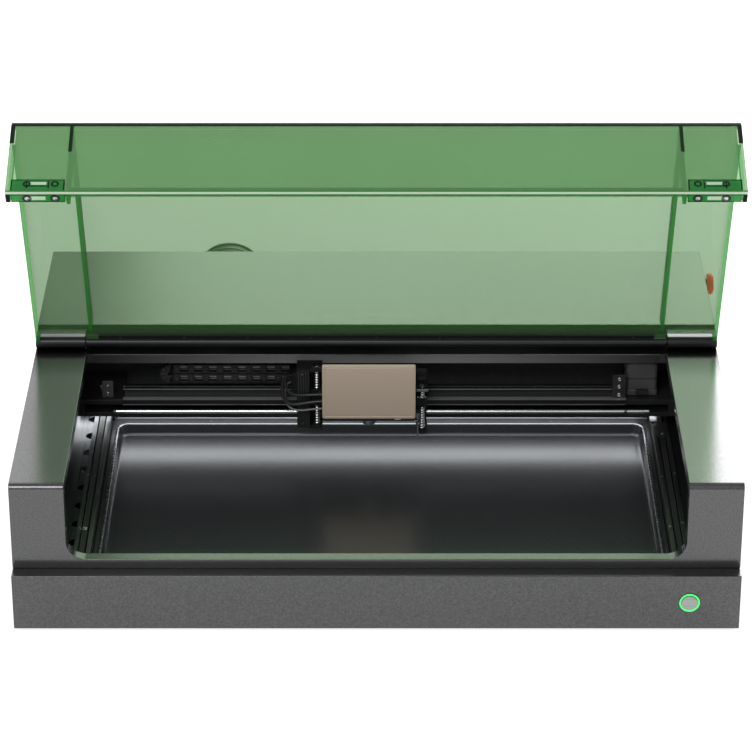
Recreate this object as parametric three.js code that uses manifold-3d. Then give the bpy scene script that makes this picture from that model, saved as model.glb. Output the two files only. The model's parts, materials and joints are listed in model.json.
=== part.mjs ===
// Desktop laser cutter: enclosed gantry machine with a hinged, L-shaped acrylic lid.
// Millimetres, +Z up, front towards -Y. The lid stands open at rest.
import * as THREE from 'three';
import { mergeVertices } from 'three/addons/utils/BufferGeometryUtils.js';
import Module from 'manifold-3d';

const wasm = await Module();
wasm.setup();

// ---------------------------------------------------------------- driving dimensions
const GAP = 0.3;                    // clearance between pieces that rest on each other

const HALF_W = 382.5;               // casing, side to side
const FRONT_Y = -280.5;             // base front face
const REAR_Y = 280.5;               // rear face
const FOOT_H = 3;
const BASE_TOP = 67.2;              // top of the lower tray and of the front ledge
const LEDGE = 17;                   // how far the base stands in front of the arms
const CASE_FRONT_Y = FRONT_Y + LEDGE;
const ARM_TOP = 166.5;
const ARM_INNER = 325;              // inner edge of each side arm
const SILL_TOP = 78;                // bottom of the U-shaped front opening
const RETURN_DEPTH = 13;            // width of the folded edge round the opening
const NOTCH_R = 20;                 // radius of the opening's lower corners
const DECK_FRONT_Y = 83;            // front edge of the rear hood
const DECK_TOP = 183;
const SHEET = 2.5;                  // casing wall

const PIVOT_Y = 59.6;               // lid hinge axis
const PIVOT_Z = 172.5;
const OPEN_DEG = 67;                // lid angle at rest, from closed
const LID_T = 5;                    // acrylic thickness
const LID_FRONT_H = 99;             // height of the lid's front panel
const LID_FLANGE = 16;              // depth of the outer side flanges
const LID_RIB = 23.3;               // depth of the inner ribs
const RIB_X = 320.3;                // outer face of each inner rib
const RIB_LIFT = 4;                 // the ribs stop short of the sill's rounded corners
const BARREL_R = 5;                 // hinge barrel

const BED = { x0: -305.8, x1: 316, y0: -252, y1: 131, top: 38, floor: 26 };
const RAIL_TOP = 52;                // top of the two side rails
const RAIL_LEFT = [-325, -306.3];
const RAIL_RIGHT = [316.5, 335.2];
const RAIL_Y = [-255, 130];
const LEDGE_Z = 48;                 // perforated ledge beside the left rail
const WALL_X = 350;                 // inner side walls of the chamber
const HOLE_PITCH = 40.7;
const HOLE_R = 7.4;

const SHAFT = { y: 138, z: 45, r: 3 };
const PULLEY_R = 5.5;               // toothed pulleys of the Y drive
const BELT_T = 1.2;
const IDLER_Y = -240;

const BEAM = { y0: 79, y1: 120, z0: 68, z1: 89.3, x0: -290, x1: 285 };
const GROOVE = [73, 83];            // belt channel along the beam
const X_PULLEY_Y = 108;
const X_PULLEY_R = 6.7;
const X_MOTOR_X = 303.3;
const X_IDLER_X = -316;
const LEG_Y = [122, 150];           // sliders of the gantry on the side rails

const MODULE = { x0: -61, x1: 44, y0: 29, z0: 91, z1: 158.5 };
const PLATE_Y = 74;                 // front face of the carriage back plate
const SCREW_LEFT_X = -67.5;
const SCREW_RIGHT_X = 51.5;
const SCREW_Y = 60;
const SCREW_R = 4;

const EXHAUST = { x: -175.5, z: 134, r: 39, y1: 329 };
const BUTTON = { x: 329, z: 35, r: 8.5, ring: 10.8, proud: 1.2 };
const ESTOP = { y: 250, z: 155, r: 12.6, x1: 397 };

// The origin is the middle of the whole outline, the e-stop, collar and button included.
const SHIFT_X = -(ESTOP.x1 - HALF_W) / 2;
const SHIFT_Y = -(EXHAUST.y1 + FRONT_Y - BUTTON.proud) / 2;

// ---------------------------------------------------------------- materials
const paint = (color, roughness, metalness) =>
  new THREE.MeshStandardMaterial({ color, roughness, metalness });
const M = {
  casing: () => paint(0x5c5c5e, 0.5, 0.4),
  deck: () => paint(0x57585a, 0.5, 0.4),
  black: () => paint(0x151617, 0.5, 0.1),
  frame: () => paint(0x1d1f21, 0.45, 0.5),
  rail: () => paint(0x70767c, 0.35, 0.9),
  steel: () => paint(0xc9cdd0, 0.25, 1),
  bed: () => paint(0x3a3e41, 0.35, 0.6),
  champagne: () => paint(0x9d8d7e, 0.4, 0.6),
  acrylic: () => paint(0x5fae4e, 0.08, 0),
  rubber: () => paint(0x101010, 0.9, 0),
  red: () => paint(0xb3201c, 0.35, 0),
  silver: () => paint(0xa2aba2, 0.3, 0.9),
  board: () => paint(0x1d5a37, 0.6, 0),
};

// ---------------------------------------------------------------- solids
function solid(geometry) {
  const plain = geometry.index ? geometry.toNonIndexed() : geometry.clone();
  plain.deleteAttribute('normal');
  plain.deleteAttribute('uv');
  const merged = mergeVertices(plain, 1e-4);
  return new wasm.Manifold(new wasm.Mesh({
    numProp: 3,
    vertProperties: new Float32Array(merged.attributes.position.array),
    triVerts: new Uint32Array(merged.index.array),
  }));
}

function box(x0, x1, y0, y1, z0, z1) {
  const g = new THREE.BoxGeometry(x1 - x0, y1 - y0, z1 - z0);
  g.translate((x0 + x1) / 2, (y0 + y1) / 2, (z0 + z1) / 2);
  return solid(g);
}

// A round bar from a to b along one axis; c holds its two other coordinates in x, y, z order.
function bar(axis, c, r, a, b, sides = 24) {
  const g = new THREE.CylinderGeometry(r, r, b - a, sides);
  const mid = (a + b) / 2;
  if (axis === 'x') {
    g.rotateZ(-Math.PI / 2);
    g.translate(mid, c[0], c[1]);
  } else if (axis === 'y') {
    g.translate(c[0], mid, c[1]);
  } else {
    g.rotateX(Math.PI / 2);
    g.translate(c[0], c[1], mid);
  }
  return solid(g);
}

function tube(axis, c, rOut, rIn, a, b, sides = 24) {
  return bar(axis, c, rOut, a, b, sides).subtract(bar(axis, c, rIn, a - 1, b + 1, sides));
}

// An outline of (y, z) points, or a Shape, swept from x0 to x1.
function alongX(outline, x0, x1) {
  const g = new THREE.ExtrudeGeometry(asShape(outline), {
    depth: x1 - x0, bevelEnabled: false, curveSegments: 6,
  });
  g.applyMatrix4(new THREE.Matrix4().set(0, 0, 1, x0, 1, 0, 0, 0, 0, 1, 0, 0, 0, 0, 0, 1));
  return solid(g);
}

// An outline of (x, z) points swept from y0 to y1.
function alongY(outline, y0, y1) {
  const g = new THREE.ExtrudeGeometry(asShape(outline), {
    depth: y1 - y0, bevelEnabled: false, curveSegments: 6,
  });
  g.rotateX(Math.PI / 2);
  g.translate(0, y1, 0);
  return solid(g);
}

function alongZ(outline, z0, z1) {
  const g = new THREE.ExtrudeGeometry(asShape(outline), {
    depth: z1 - z0, bevelEnabled: false, curveSegments: 6,
  });
  g.translate(0, 0, z0);
  return solid(g);
}

function asShape(outline) {
  if (outline instanceof THREE.Shape) return outline;
  return new THREE.Shape(outline.map(([u, v]) => new THREE.Vector2(u, v)));
}

// A rectangle with rounded corners; r is one radius, or four from low-low, counter-clockwise.
function roundRect(u0, u1, v0, v1, r) {
  const [a, b, c, d] = Array.isArray(r) ? r : [r, r, r, r];
  const s = new THREE.Shape();
  s.moveTo(u0 + a, v0);
  s.lineTo(u1 - b, v0);
  if (b) s.absarc(u1 - b, v0 + b, b, -Math.PI / 2, 0);
  s.lineTo(u1, v1 - c);
  if (c) s.absarc(u1 - c, v1 - c, c, 0, Math.PI / 2);
  s.lineTo(u0 + d, v1);
  if (d) s.absarc(u0 + d, v1 - d, d, Math.PI / 2, Math.PI);
  s.lineTo(u0, v0 + a);
  if (a) s.absarc(u0 + a, v0 + a, a, Math.PI, Math.PI * 1.5);
  return s;
}

function join(...parts) {
  return parts.reduce((sum, next) => sum.add(next));
}

function cut(body, ...tools) {
  return tools.reduce((left, tool) => left.subtract(tool), body);
}

function mesh(name, body, material) {
  const out = body.getMesh();
  const g = new THREE.BufferGeometry();
  const points = new Float32Array(out.numVert * 3);
  for (let i = 0; i < out.numVert; i += 1) {
    for (let k = 0; k < 3; k += 1) points[3 * i + k] = out.vertProperties[out.numProp * i + k];
  }
  g.setAttribute('position', new THREE.BufferAttribute(points, 3));
  g.setIndex(new THREE.BufferAttribute(new Uint32Array(out.triVerts), 1));
  g.computeVertexNormals();
  const m = new THREE.Mesh(g, material);
  m.name = name;
  return m;
}

const machine = new THREE.Group();
machine.position.set(SHIFT_X, SHIFT_Y, 0);
const add = (name, body, material, parent = machine) => parent.add(mesh(name, body, material));

// ---------------------------------------------------------------- lower tray and feet
function baseShell() {
  const t = 3;
  const front = FRONT_Y + t + GAP;
  const z0 = FOOT_H + GAP;
  const outer = box(-HALF_W, HALF_W, front, REAR_Y, z0, BASE_TOP);
  const hollow = box(-HALF_W + t, HALF_W - t, front + t, REAR_Y - t, z0 + t, BASE_TOP + 1);
  const frontRelief = box(-HALF_W - 1, HALF_W + 1, front - 1, CASE_FRONT_Y + 2, BASE_TOP - 3.3, 99);
  const buttonHole = bar('y', [BUTTON.x, BUTTON.z], BUTTON.ring + 4, front - 1, front + t + 1);
  return cut(outer, hollow, frontRelief, buttonHole);
}

function baseFrontPanel() {
  const t = 3;
  const z0 = FOOT_H + GAP;
  const profile = [
    [FRONT_Y, z0], [FRONT_Y + t, z0], [FRONT_Y + t, BASE_TOP - t],
    [CASE_FRONT_Y + 1.5, BASE_TOP - t], [CASE_FRONT_Y + 1.5, BASE_TOP], [FRONT_Y, BASE_TOP],
  ];
  const hole = bar('y', [BUTTON.x, BUTTON.z], BUTTON.ring + GAP, FRONT_Y - 1, FRONT_Y + t + 1);
  return cut(alongX(profile, -HALF_W, HALF_W), hole);
}

function foot(x, y) {
  return alongZ(roundRect(x - 16, x + 16, y - 12, y + 12, 5), 0, FOOT_H);
}

add('base_shell', baseShell(), M.casing());
add('base_front_panel', baseFrontPanel(), M.casing());
const FOOT_X = 343;
const FOOT_Y = 262;
[['front_left', -1, -1], ['front_right', 1, -1], ['rear_left', -1, 1], ['rear_right', 1, 1]]
  .forEach(([place, sx, sy]) => add(`foot_${place}`, foot(sx * FOOT_X, sy * FOOT_Y), M.rubber()));

// ---------------------------------------------------------------- upper casing and hood
function notch(grow, y0, y1) {
  const w = ARM_INNER + grow;
  const r = NOTCH_R + grow;
  return alongY(roundRect(-w, w, SILL_TOP - grow, ARM_TOP + 20, [r, r, 0, 0]), y0, y1);
}

function upperCasing() {
  const z0 = BASE_TOP + GAP;
  const y1 = DECK_FRONT_Y - GAP;
  const bend = 7;
  const outer = alongX(roundRect(CASE_FRONT_Y, y1, z0, ARM_TOP, [0, 0, 0, bend]), -HALF_W, HALF_W);
  const inner = alongX(
    roundRect(CASE_FRONT_Y + SHEET, y1 + 5, z0 - 5, ARM_TOP - SHEET, [0, 0, 0, bend - SHEET]),
    -HALF_W + SHEET, HALF_W - SHEET,
  );
  const returnBand = notch(2, CASE_FRONT_Y + 0.5, CASE_FRONT_Y + RETURN_DEPTH)
    .intersect(alongX(roundRect(CASE_FRONT_Y, y1, z0, ARM_TOP - 0.2, [0, 0, 0, bend]), -350, 350));
  const lips = [-1, 1].map((s) => {
    const xs = [s * ARM_INNER, s * (ARM_INNER + 2)].sort((a, b) => a - b);
    return box(xs[0], xs[1], CASE_FRONT_Y + 9, y1, ARM_TOP - RETURN_DEPTH, ARM_TOP - 1);
  });
  const shell = join(outer.subtract(inner), returnBand, ...lips);
  return shell.subtract(notch(0, CASE_FRONT_Y - 5, y1 + 5));
}

function rearHood() {
  const z0 = BASE_TOP + GAP;
  const outer = box(-HALF_W, HALF_W, DECK_FRONT_Y, REAR_Y, z0, DECK_TOP);
  const hollow = box(
    -HALF_W + SHEET, HALF_W - SHEET, DECK_FRONT_Y + SHEET, REAR_Y + 1, z0 - 1, DECK_TOP - SHEET,
  );
  const chamberMouth = box(
    -HALF_W + SHEET, HALF_W - SHEET, DECK_FRONT_Y - 1, DECK_FRONT_Y + SHEET + 1, z0 - 1, 156,
  );
  const estopHole = bar('x', [ESTOP.y, ESTOP.z], 11, 370, 390);
  return cut(outer, hollow, chamberMouth, estopHole);
}

const INLET = { x0: 262, x1: 322, z0: 86, z1: 114 };
const INNER_X = HALF_W - SHEET - GAP;

function rearPanel() {
  const y0 = REAR_Y - 3;
  const y1 = REAR_Y - 0.5;
  const plate = box(-INNER_X, INNER_X, y0, y1, BASE_TOP + 2 * GAP, DECK_TOP - SHEET - GAP);
  const tools = [
    bar('y', [EXHAUST.x, EXHAUST.z], EXHAUST.r - 3, y0 - 1, y1 + 1, 32),
    box(INLET.x0, INLET.x1, y0 - 1, y1 + 1, INLET.z0, INLET.z1),
  ];
  for (let i = 0; i < 9; i += 1) {
    const x = 20 + 20 * i;
    tools.push(box(x, x + 7, y0 - 1, y1 + 1, 120, 160));
  }
  return cut(plate, ...tools);
}

function exhaustCollar() {
  const c = [EXHAUST.x, EXHAUST.z];
  const y0 = REAR_Y - 0.2;
  const pipe = join(
    bar('y', c, EXHAUST.r, y0, EXHAUST.y1, 40),
    bar('y', c, EXHAUST.r + 6, y0, y0 + 4, 40),
    bar('y', c, EXHAUST.r + 1.5, EXHAUST.y1 - 8, EXHAUST.y1 - 4, 40),
  );
  return pipe.subtract(bar('y', c, EXHAUST.r - 2.5, y0 - 1, EXHAUST.y1 + 1, 40));
}

add('upper_casing', upperCasing(), M.casing());
add('rear_hood', rearHood(), M.deck());
add('rear_panel', rearPanel(), M.black());
add('exhaust_collar', exhaustCollar(), M.black());

// ---------------------------------------------------------------- chamber
function crossBeam() {
  const y0 = 86;
  const profile = [
    [y0, 133], [y0 + 26, 133], [y0 + 26, 135], [y0 + 2, 135],
    [y0 + 2, 142], [y0 + 26, 142], [y0 + 26, 144], [y0, 144],
  ];
  return alongX(profile, -345, 345);
}

function sideFrame(side) {
  const y0 = RAIL_Y[0];
  const y1 = 118;
  const profile = [
    [WALL_X + 2, 30], [WALL_X + 2, 150], [WALL_X, 150], [WALL_X, LEDGE_Z],
    [Math.abs(side < 0 ? RAIL_LEFT[0] : RAIL_RIGHT[1]) + GAP, LEDGE_Z],
    [Math.abs(side < 0 ? RAIL_LEFT[0] : RAIL_RIGHT[1]) + GAP, LEDGE_Z - 2],
    [WALL_X, LEDGE_Z - 2], [WALL_X, 30],
  ].map(([x, z]) => [side * x, z]);
  if (side < 0) profile.reverse();
  let frame = alongY(profile, y0, y1);
  if (side < 0) {
    for (let i = 0; i < 8; i += 1) {
      const y = 115 - HOLE_PITCH * i - 5;
      frame = frame.subtract(bar('z', [RAIL_LEFT[0], y], HOLE_R, 40, 60, 20));
    }
  }
  return frame;
}

function chamberBackWall() {
  const wall = box(-344, 336, 152, 154, 18, 165);
  const foot = box(-344, 336, 147, 152.5, 18, 24);
  const blocks = [[-305, -300], [309, 314]].map(([x0, x1]) =>
    box(x0, x1, SHAFT.y - 6, 152.5, 22, 51));
  const bore = bar('x', [SHAFT.y, SHAFT.z], SHAFT.r + GAP, -400, 400, 16);
  return join(wall, foot, ...blocks).subtract(bore);
}

function workBed() {
  const r = 10;
  const outer = alongZ(roundRect(BED.x0, BED.x1, BED.y0, BED.y1, 6), BED.top - 3, BED.top);
  const pan = alongZ(roundRect(-301, 311, BED.y0 + 4, 120, r), BED.floor - 3, BED.top - 1);
  const hollow = alongZ(roundRect(-297, 307, BED.y0 + 9, 115.5, r), BED.floor, BED.top + 5);
  return join(outer, pan).subtract(hollow);
}

function yRail([x0, x1]) {
  const mid = (x0 + x1) / 2;
  const body = box(x0, x1, RAIL_Y[0], RAIL_Y[1], 33, RAIL_TOP);
  const slot = box(mid - 4.5, mid + 4.5, IDLER_Y - 9, RAIL_Y[1] + 1, 36, RAIL_TOP + 1);
  const axle = bar('x', [IDLER_Y, SHAFT.z], 2, x0 + 1, x1 - 1, 12);
  return body.subtract(slot).add(axle);
}

function yBelt([x0, x1]) {
  const mid = (x0 + x1) / 2;
  const loop = (r) => {
    const s = new THREE.Shape();
    s.absarc(SHAFT.y, SHAFT.z, r, -Math.PI / 2, Math.PI / 2);
    s.absarc(IDLER_Y, SHAFT.z, r, Math.PI / 2, Math.PI * 1.5);
    return s;
  };
  const outer = alongX(loop(PULLEY_R + GAP + BELT_T), mid - 3, mid + 3);
  return outer.subtract(alongX(loop(PULLEY_R + GAP), mid - 4, mid + 4));
}

function yShaft() {
  const c = [SHAFT.y, SHAFT.z];
  const rod = bar('x', c, SHAFT.r, -322, 335.7, 16);
  const pulleys = [RAIL_LEFT, RAIL_RIGHT].map(([x0, x1]) => {
    const mid = (x0 + x1) / 2;
    return bar('x', c, PULLEY_R, mid - 3.5, mid + 3.5, 24);
  });
  return join(rod, ...pulleys);
}

function yIdler([x0, x1]) {
  const mid = (x0 + x1) / 2;
  return tube('x', [IDLER_Y, SHAFT.z], PULLEY_R, 2 + GAP, mid - 3.5, mid + 3.5, 24);
}

function yMotor() {
  const body = box(345.4, 379, SHAFT.y - 17.5, SHAFT.y + 17.5, SHAFT.z - 17.5, SHAFT.z + 17.5);
  const boss = bar('x', [SHAFT.y, SHAFT.z], 6, 336, 346, 20);
  return join(body, boss);
}

add('cross_beam', crossBeam(), M.frame());
add('side_frame_left', sideFrame(-1), M.rail());
add('side_frame_right', sideFrame(1), M.frame());
add('chamber_back_wall', chamberBackWall(), M.black());
add('work_bed', workBed(), M.bed());
add('y_rail_left', yRail(RAIL_LEFT), M.rail());
add('y_rail_right', yRail(RAIL_RIGHT), M.rail());
add('y_belt_left', yBelt(RAIL_LEFT), M.rubber());
add('y_belt_right', yBelt(RAIL_RIGHT), M.rubber());
add('y_shaft', yShaft(), M.steel());
add('y_idler_left', yIdler(RAIL_LEFT), M.silver());
add('y_idler_right', yIdler(RAIL_RIGHT), M.silver());
add('y_motor', yMotor(), M.black());

// ---------------------------------------------------------------- electronics and air
function fanHousing() {
  const c = [EXHAUST.x, EXHAUST.z];
  const [y0, y1] = [232, REAR_Y - 3.5];
  const block = box(c[0] - 45, c[0] + 45, y0, y1, c[1] - 45, c[1] + 45);
  const ring = block.subtract(bar('y', c, EXHAUST.r - 1, y0 - 1, y1 + 1, 32));
  const spokes = [0, 1].map((k) => (k
    ? box(c[0] - 2, c[0] + 2, y0, y0 + 3, c[1] - 40, c[1] + 40)
    : box(c[0] - 40, c[0] + 40, y0, y0 + 3, c[1] - 2, c[1] + 2)));
  return join(ring, ...spokes, bar('y', c, 12, y0, y0 + 4, 16));
}

function fanRotor() {
  const c = [EXHAUST.x, EXHAUST.z];
  const [y0, y1] = [238, 268];
  const count = 7;
  let rotor = bar('y', c, 14, y0, y1, 24);
  for (let i = 0; i < count; i += 1) {
    const blade = new THREE.BoxGeometry(22.5, 26, 1.6);
    blade.rotateX(Math.PI / 5);
    blade.translate(23.5, 0, 0);
    blade.rotateY((2 * Math.PI * i) / count);
    blade.translate(c[0], (y0 + y1) / 2, c[1]);
    rotor = rotor.add(solid(blade));
  }
  return rotor;
}

function powerSupply() {
  const body = box(110, 300, 168, 268, 7.5, 52);
  const slots = Array.from({ length: 8 }, (_, i) =>
    box(124 + 20 * i, 134 + 20 * i, 180, 255, 50, 60));
  return cut(body, ...slots);
}

function controlBoard() {
  const board = box(-60, 80, 168, 268, 14, 16);
  const posts = [[-54, 174], [74, 174], [-54, 262], [74, 262]].map(([x, y]) =>
    bar('z', [x, y], 3, 6.6, 15, 10));
  const chips = [[-30, 190, 28, 28, 5], [20, 190, 40, 16, 9], [-20, 235, 60, 18, 12]].map(
    ([x, y, w, d, h]) => box(x, x + w, y, y + d, 15, 16 + h),
  );
  return join(board, ...posts, ...chips);
}

function powerInlet() {
  const y1 = REAR_Y + 1;
  const flange = box(INLET.x0 - 3, INLET.x1 + 3, REAR_Y - 0.2, y1, INLET.z0 - 3, INLET.z1 + 3);
  const body = box(INLET.x0 + GAP, INLET.x1 - GAP, 252, y1, INLET.z0 + GAP, INLET.z1 - GAP);
  const socket = box(266, 292, 258, y1 + 1, 91, 109);
  const rockerBay = box(299, 318, 262, y1 + 1, 89, 111);
  const pins = [[272, 97], [286, 97], [279, 103]].map(([x, z]) =>
    box(x - 1, x + 1, 256, 274, z - 2, z + 2));
  return join(cut(join(flange, body), socket, rockerBay), ...pins);
}

function mainsRocker() {
  const profile = new THREE.Shape();
  profile.moveTo(269, 90.5);
  profile.lineTo(282.6, 90.2);
  profile.lineTo(279.8, 100);
  profile.lineTo(280.8, 109.6);
  profile.lineTo(269, 109.5);
  profile.lineTo(269, 90.5);
  return alongX(profile, 300, 317);
}

add('exhaust_fan_housing', fanHousing(), M.black());
add('exhaust_fan_rotor', fanRotor(), M.frame());
add('power_supply', powerSupply(), M.silver());
add('control_board', controlBoard(), M.board());
add('power_inlet', powerInlet(), M.black());
add('mains_rocker', mainsRocker(), M.black());

// ---------------------------------------------------------------- controls
function buttonBezel() {
  const c = [BUTTON.x, BUTTON.z];
  const r = BUTTON.r + GAP;
  const ring = tube('y', c, BUTTON.ring, r, FRONT_Y - 0.5, FRONT_Y + 16, 32);
  return ring.add(tube('y', c, BUTTON.ring + 3, r, FRONT_Y + 3 + GAP, FRONT_Y + 6, 32));
}

function estopBase() {
  const c = [ESTOP.y, ESTOP.z];
  const outer = join(bar('x', c, 15, HALF_W + GAP, HALF_W + 3, 28), bar('x', c, 10.6, 364, 384, 24));
  return outer.subtract(bar('x', c, 6.6, 360, 400, 20));
}

function estopCap() {
  const x0 = ESTOP.x1 - 7.4;
  const profile = [[0, 0], [ESTOP.r - 0.8, 0], [ESTOP.r, 1], [ESTOP.r, 4.6], [ESTOP.r - 1, 6.4],
    [ESTOP.r - 3, 7.2], [0, 7.4]].map(([r, h]) => new THREE.Vector2(r, h));
  const g = new THREE.LatheGeometry(profile, 28);
  g.rotateZ(-Math.PI / 2);
  g.translate(x0, ESTOP.y, ESTOP.z);
  return solid(g);
}

add('power_button_bezel', buttonBezel(), M.silver());
add('power_button', bar('y', [BUTTON.x, BUTTON.z], BUTTON.r, FRONT_Y - BUTTON.proud,
  FRONT_Y + 14, 28),
  M.silver());
add('estop_base', estopBase(), M.black());
add('estop_stem', bar('x', [ESTOP.y, ESTOP.z], 6, 366, ESTOP.x1 - 7.4 - GAP, 20), M.black());
add('estop_cap', estopCap(), M.red());

// ---------------------------------------------------------------- gantry
const CHANNEL_Y1 = BEAM.y1 - 2;

function gantryBeam() {
  const profile = [
    [BEAM.y0, BEAM.z0], [BEAM.y1, BEAM.z0], [BEAM.y1, BEAM.z1], [BEAM.y0, BEAM.z1],
    [BEAM.y0, GROOVE[1]], [CHANNEL_Y1, GROOVE[1]], [CHANNEL_Y1, GROOVE[0]], [BEAM.y0, GROOVE[0]],
  ];
  const rail = box(BEAM.x0 + 2, BEAM.x1 - 2, 88, 95, BEAM.z1 - 1, 98.7);
  return alongX(profile, BEAM.x0 + GAP, BEAM.x1 - GAP).add(rail);
}

function gantryEnd(side, innerX, pulleyX) {
  const span = (a, b) => [side * a, side * b].sort((p, q) => p - q);
  const [x0, x1] = span(innerX, 344);
  const [c0, c1] = span(innerX - 1, 334);
  const [l0, l1] = span(303, 344);
  const block = box(x0, x1, BEAM.y0, LEG_Y[1], BEAM.z0, BEAM.z1);
  const leg = box(l0, l1, LEG_Y[0], LEG_Y[1], RAIL_TOP + 0.8, BEAM.z0 + 1);
  const channel = box(c0, c1, BEAM.y0 - 1, CHANNEL_Y1, GROOVE[0], GROOVE[1]);
  const axleHole = bar('z', [pulleyX, X_PULLEY_Y], 3.2, GROOVE[0] + 1, 95, 16);
  return cut(join(block, leg), channel, axleHole);
}

function xMotor() {
  const half = 18.2;
  const y = X_PULLEY_Y;
  const x = X_MOTOR_X;
  const square = (h, r) => roundRect(x - h, x + h, y - h, y + h, r);
  return join(
    alongZ(square(half, 3), BEAM.z1 + GAP, 111),
    alongZ(square(half - 1.4, 4), 110.5, 112.5),
    alongZ(square(half - 0.8, 6), 112, 130),
  );
}

function xMotorPulley() {
  const c = [X_MOTOR_X, X_PULLEY_Y];
  return join(bar('z', c, 2.5, 73.6, BEAM.z1, 16), bar('z', c, X_PULLEY_R, 74, 82, 24));
}

function xIdlerPulley() {
  const c = [X_IDLER_X, X_PULLEY_Y];
  return join(bar('z', c, X_PULLEY_R, 74, 82, 24), bar('z', c, 2.7, 81, 90.5, 16));
}

function xBelt() {
  const loop = (r) => {
    const s = new THREE.Shape();
    s.absarc(X_MOTOR_X, X_PULLEY_Y, r, -Math.PI / 2, Math.PI / 2);
    s.absarc(X_IDLER_X, X_PULLEY_Y, r, Math.PI / 2, Math.PI * 1.5);
    return s;
  };
  const r = X_PULLEY_R + GAP;
  return alongZ(loop(r + BELT_T), 75, 81).subtract(alongZ(loop(r), 70, 90));
}

// Cable chain: a lower run fixed to the beam, a bend at the left, an upper run to the carriage.
const CHAIN = { y0: 103, y1: 118, left: -236, right: -100, z: [98.5, 109.4, 110.6, 121.5] };

function chainRun(z0, z1) {
  const pitch = 16;
  let run = box(CHAIN.left + GAP, CHAIN.right, CHAIN.y0, CHAIN.y1, z0, z1);
  for (let x = CHAIN.left + 10; x < CHAIN.right - 6; x += pitch) {
    run = run.subtract(box(x - 4, x + 4, CHAIN.y0 - 1, CHAIN.y1 + 1, z0 + 3, z1 - 3));
  }
  return run;
}

function chainBend() {
  const mid = (CHAIN.z[1] + CHAIN.z[2]) / 2;
  const r = CHAIN.z[3] - mid;
  const ring = tube('y', [CHAIN.left, mid], r, 2.6, CHAIN.y0, CHAIN.y1, 24);
  return ring.intersect(box(CHAIN.left - 20, CHAIN.left, 90, 130, 80, 140));
}

add('gantry_beam', gantryBeam(), M.frame());
add('gantry_end_left', gantryEnd(-1, -BEAM.x0, X_IDLER_X), M.black());
add('gantry_end_right', gantryEnd(1, BEAM.x1, X_MOTOR_X), M.black());
add('x_motor', xMotor(), M.frame());
add('x_motor_pulley', xMotorPulley(), M.silver());
add('x_idler_pulley', xIdlerPulley(), M.silver());
add('x_belt', xBelt(), M.rubber());
add('cable_chain_lower', chainRun(CHAIN.z[0], CHAIN.z[1]), M.black());
add('cable_chain_upper', chainRun(CHAIN.z[2], CHAIN.z[3]), M.black());
add('cable_chain_bend', chainBend(), M.black());

// ---------------------------------------------------------------- carriage and laser module
function carriageFrame() {
  const back = box(-90, 57, PLATE_Y, PLATE_Y + 4.6, 66, 130);
  const leftColumn = box(-90, -75.6, 50, PLATE_Y + 1, 69, 142);
  const rightColumn = box(46, 57, 68.6, PLATE_Y + 1, 60, 124);
  const slider = box(-60, 30, PLATE_Y + 1, 100.5, 90, 108);
  const railSlot = box(-99, 60, 87.6, 95.4, 85, 99.1);
  const clamp = box(-20, 0, PLATE_Y + 1, 99.4, 75.5, 80.5);
  const chainArm = box(-97, -55, 84, 102, 100, 121.5);
  const chainLip = box(-97, -75, 101, CHAIN.y1, CHAIN.z[2], CHAIN.z[3]);
  const ears = [
    [-76, -61.3, 138, 142], [-76, -61.3, 66, 70], [45, 58, 113, 117], [45, 58, 60, 64],
  ].map(([x0, x1, z0, z1]) => box(x0, x1, 53, PLATE_Y + 1, z0, z1));
  const bores = [SCREW_LEFT_X, SCREW_RIGHT_X].map((x) =>
    bar('z', [x, SCREW_Y], SCREW_R + GAP, 50, 160, 16));
  const body = join(back, leftColumn, rightColumn, slider, clamp, chainArm, chainLip, ...ears);
  return cut(body, railSlot, ...bores);
}

function leadScrew(x, z0, z1) {
  return bar('z', [x, SCREW_Y], SCREW_R, z0, z1, 16);
}

function moduleHousing() {
  const { x0, x1, y0, z0, z1 } = MODULE;
  const side = new THREE.Shape();
  side.moveTo(y0 + 3 + GAP, z0 + GAP);
  side.lineTo(PLATE_Y - 0.6, z0 + GAP);
  side.lineTo(PLATE_Y - 0.6, 131);
  side.lineTo(y0 + 6, z1 - 5);
  side.lineTo(y0 + 3 + GAP, z1 - 5);
  const body = alongX(side, x0 + GAP, x1 - GAP);
  const vents = Array.from({ length: 7 }, (_, i) =>
    box(x0 + 14 + 12 * i, x0 + 19 + 12 * i, 44, 66, 126, z1 + 1));
  const leftEar = box(-74, -60, 54, 66, 95, 115);
  const rightEar = box(43, 57.5, 54, 66, 93, 104);
  const bores = [SCREW_LEFT_X, SCREW_RIGHT_X].map((x) =>
    bar('z', [x, SCREW_Y], SCREW_R + 0.4, 80, 130, 16));
  const nozzleSeat = bar('z', [-8.5, 52], 6, z0 - 1, z0 + 4, 16);
  return cut(join(body, leftEar, rightEar), ...vents, ...bores, nozzleSeat);
}

function moduleCover() {
  const { x0, x1, y0, z0, z1 } = MODULE;
  return alongY(roundRect(x0, x1, z0, z1, 1.5), y0, y0 + 3);
}

function moduleNozzle() {
  const c = [-8.5, 52];
  const z1 = MODULE.z0;
  const body = join(bar('z', c, 13, z1 - 9, z1, 24), bar('z', c, 9, z1 - 15, z1 - 8, 24));
  return body.subtract(bar('z', c, 4.5, z1 - 20, z1 + 1, 16));
}

// The module's lead: out of the chain's end, down in a slack curve, into the module's left side.
const LEAD = [
  [-97.5, 93, 113], [-101, 92.8, 112.6], [-104.5, 90, 110.8], [-106.5, 84, 108.2],
  [-107, 76, 105], [-106, 66, 101.8], [-103, 56, 100], [-97, 48.5, 99.8], [-90, 45.4, 101],
  [-82, 44.4, 102.8], [-74, 44, 104.3], [-67, 44, 105.2], [-61.1, 44, 105.5],
].map(([x, y, z]) => new THREE.Vector3(x, y, z));

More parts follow.
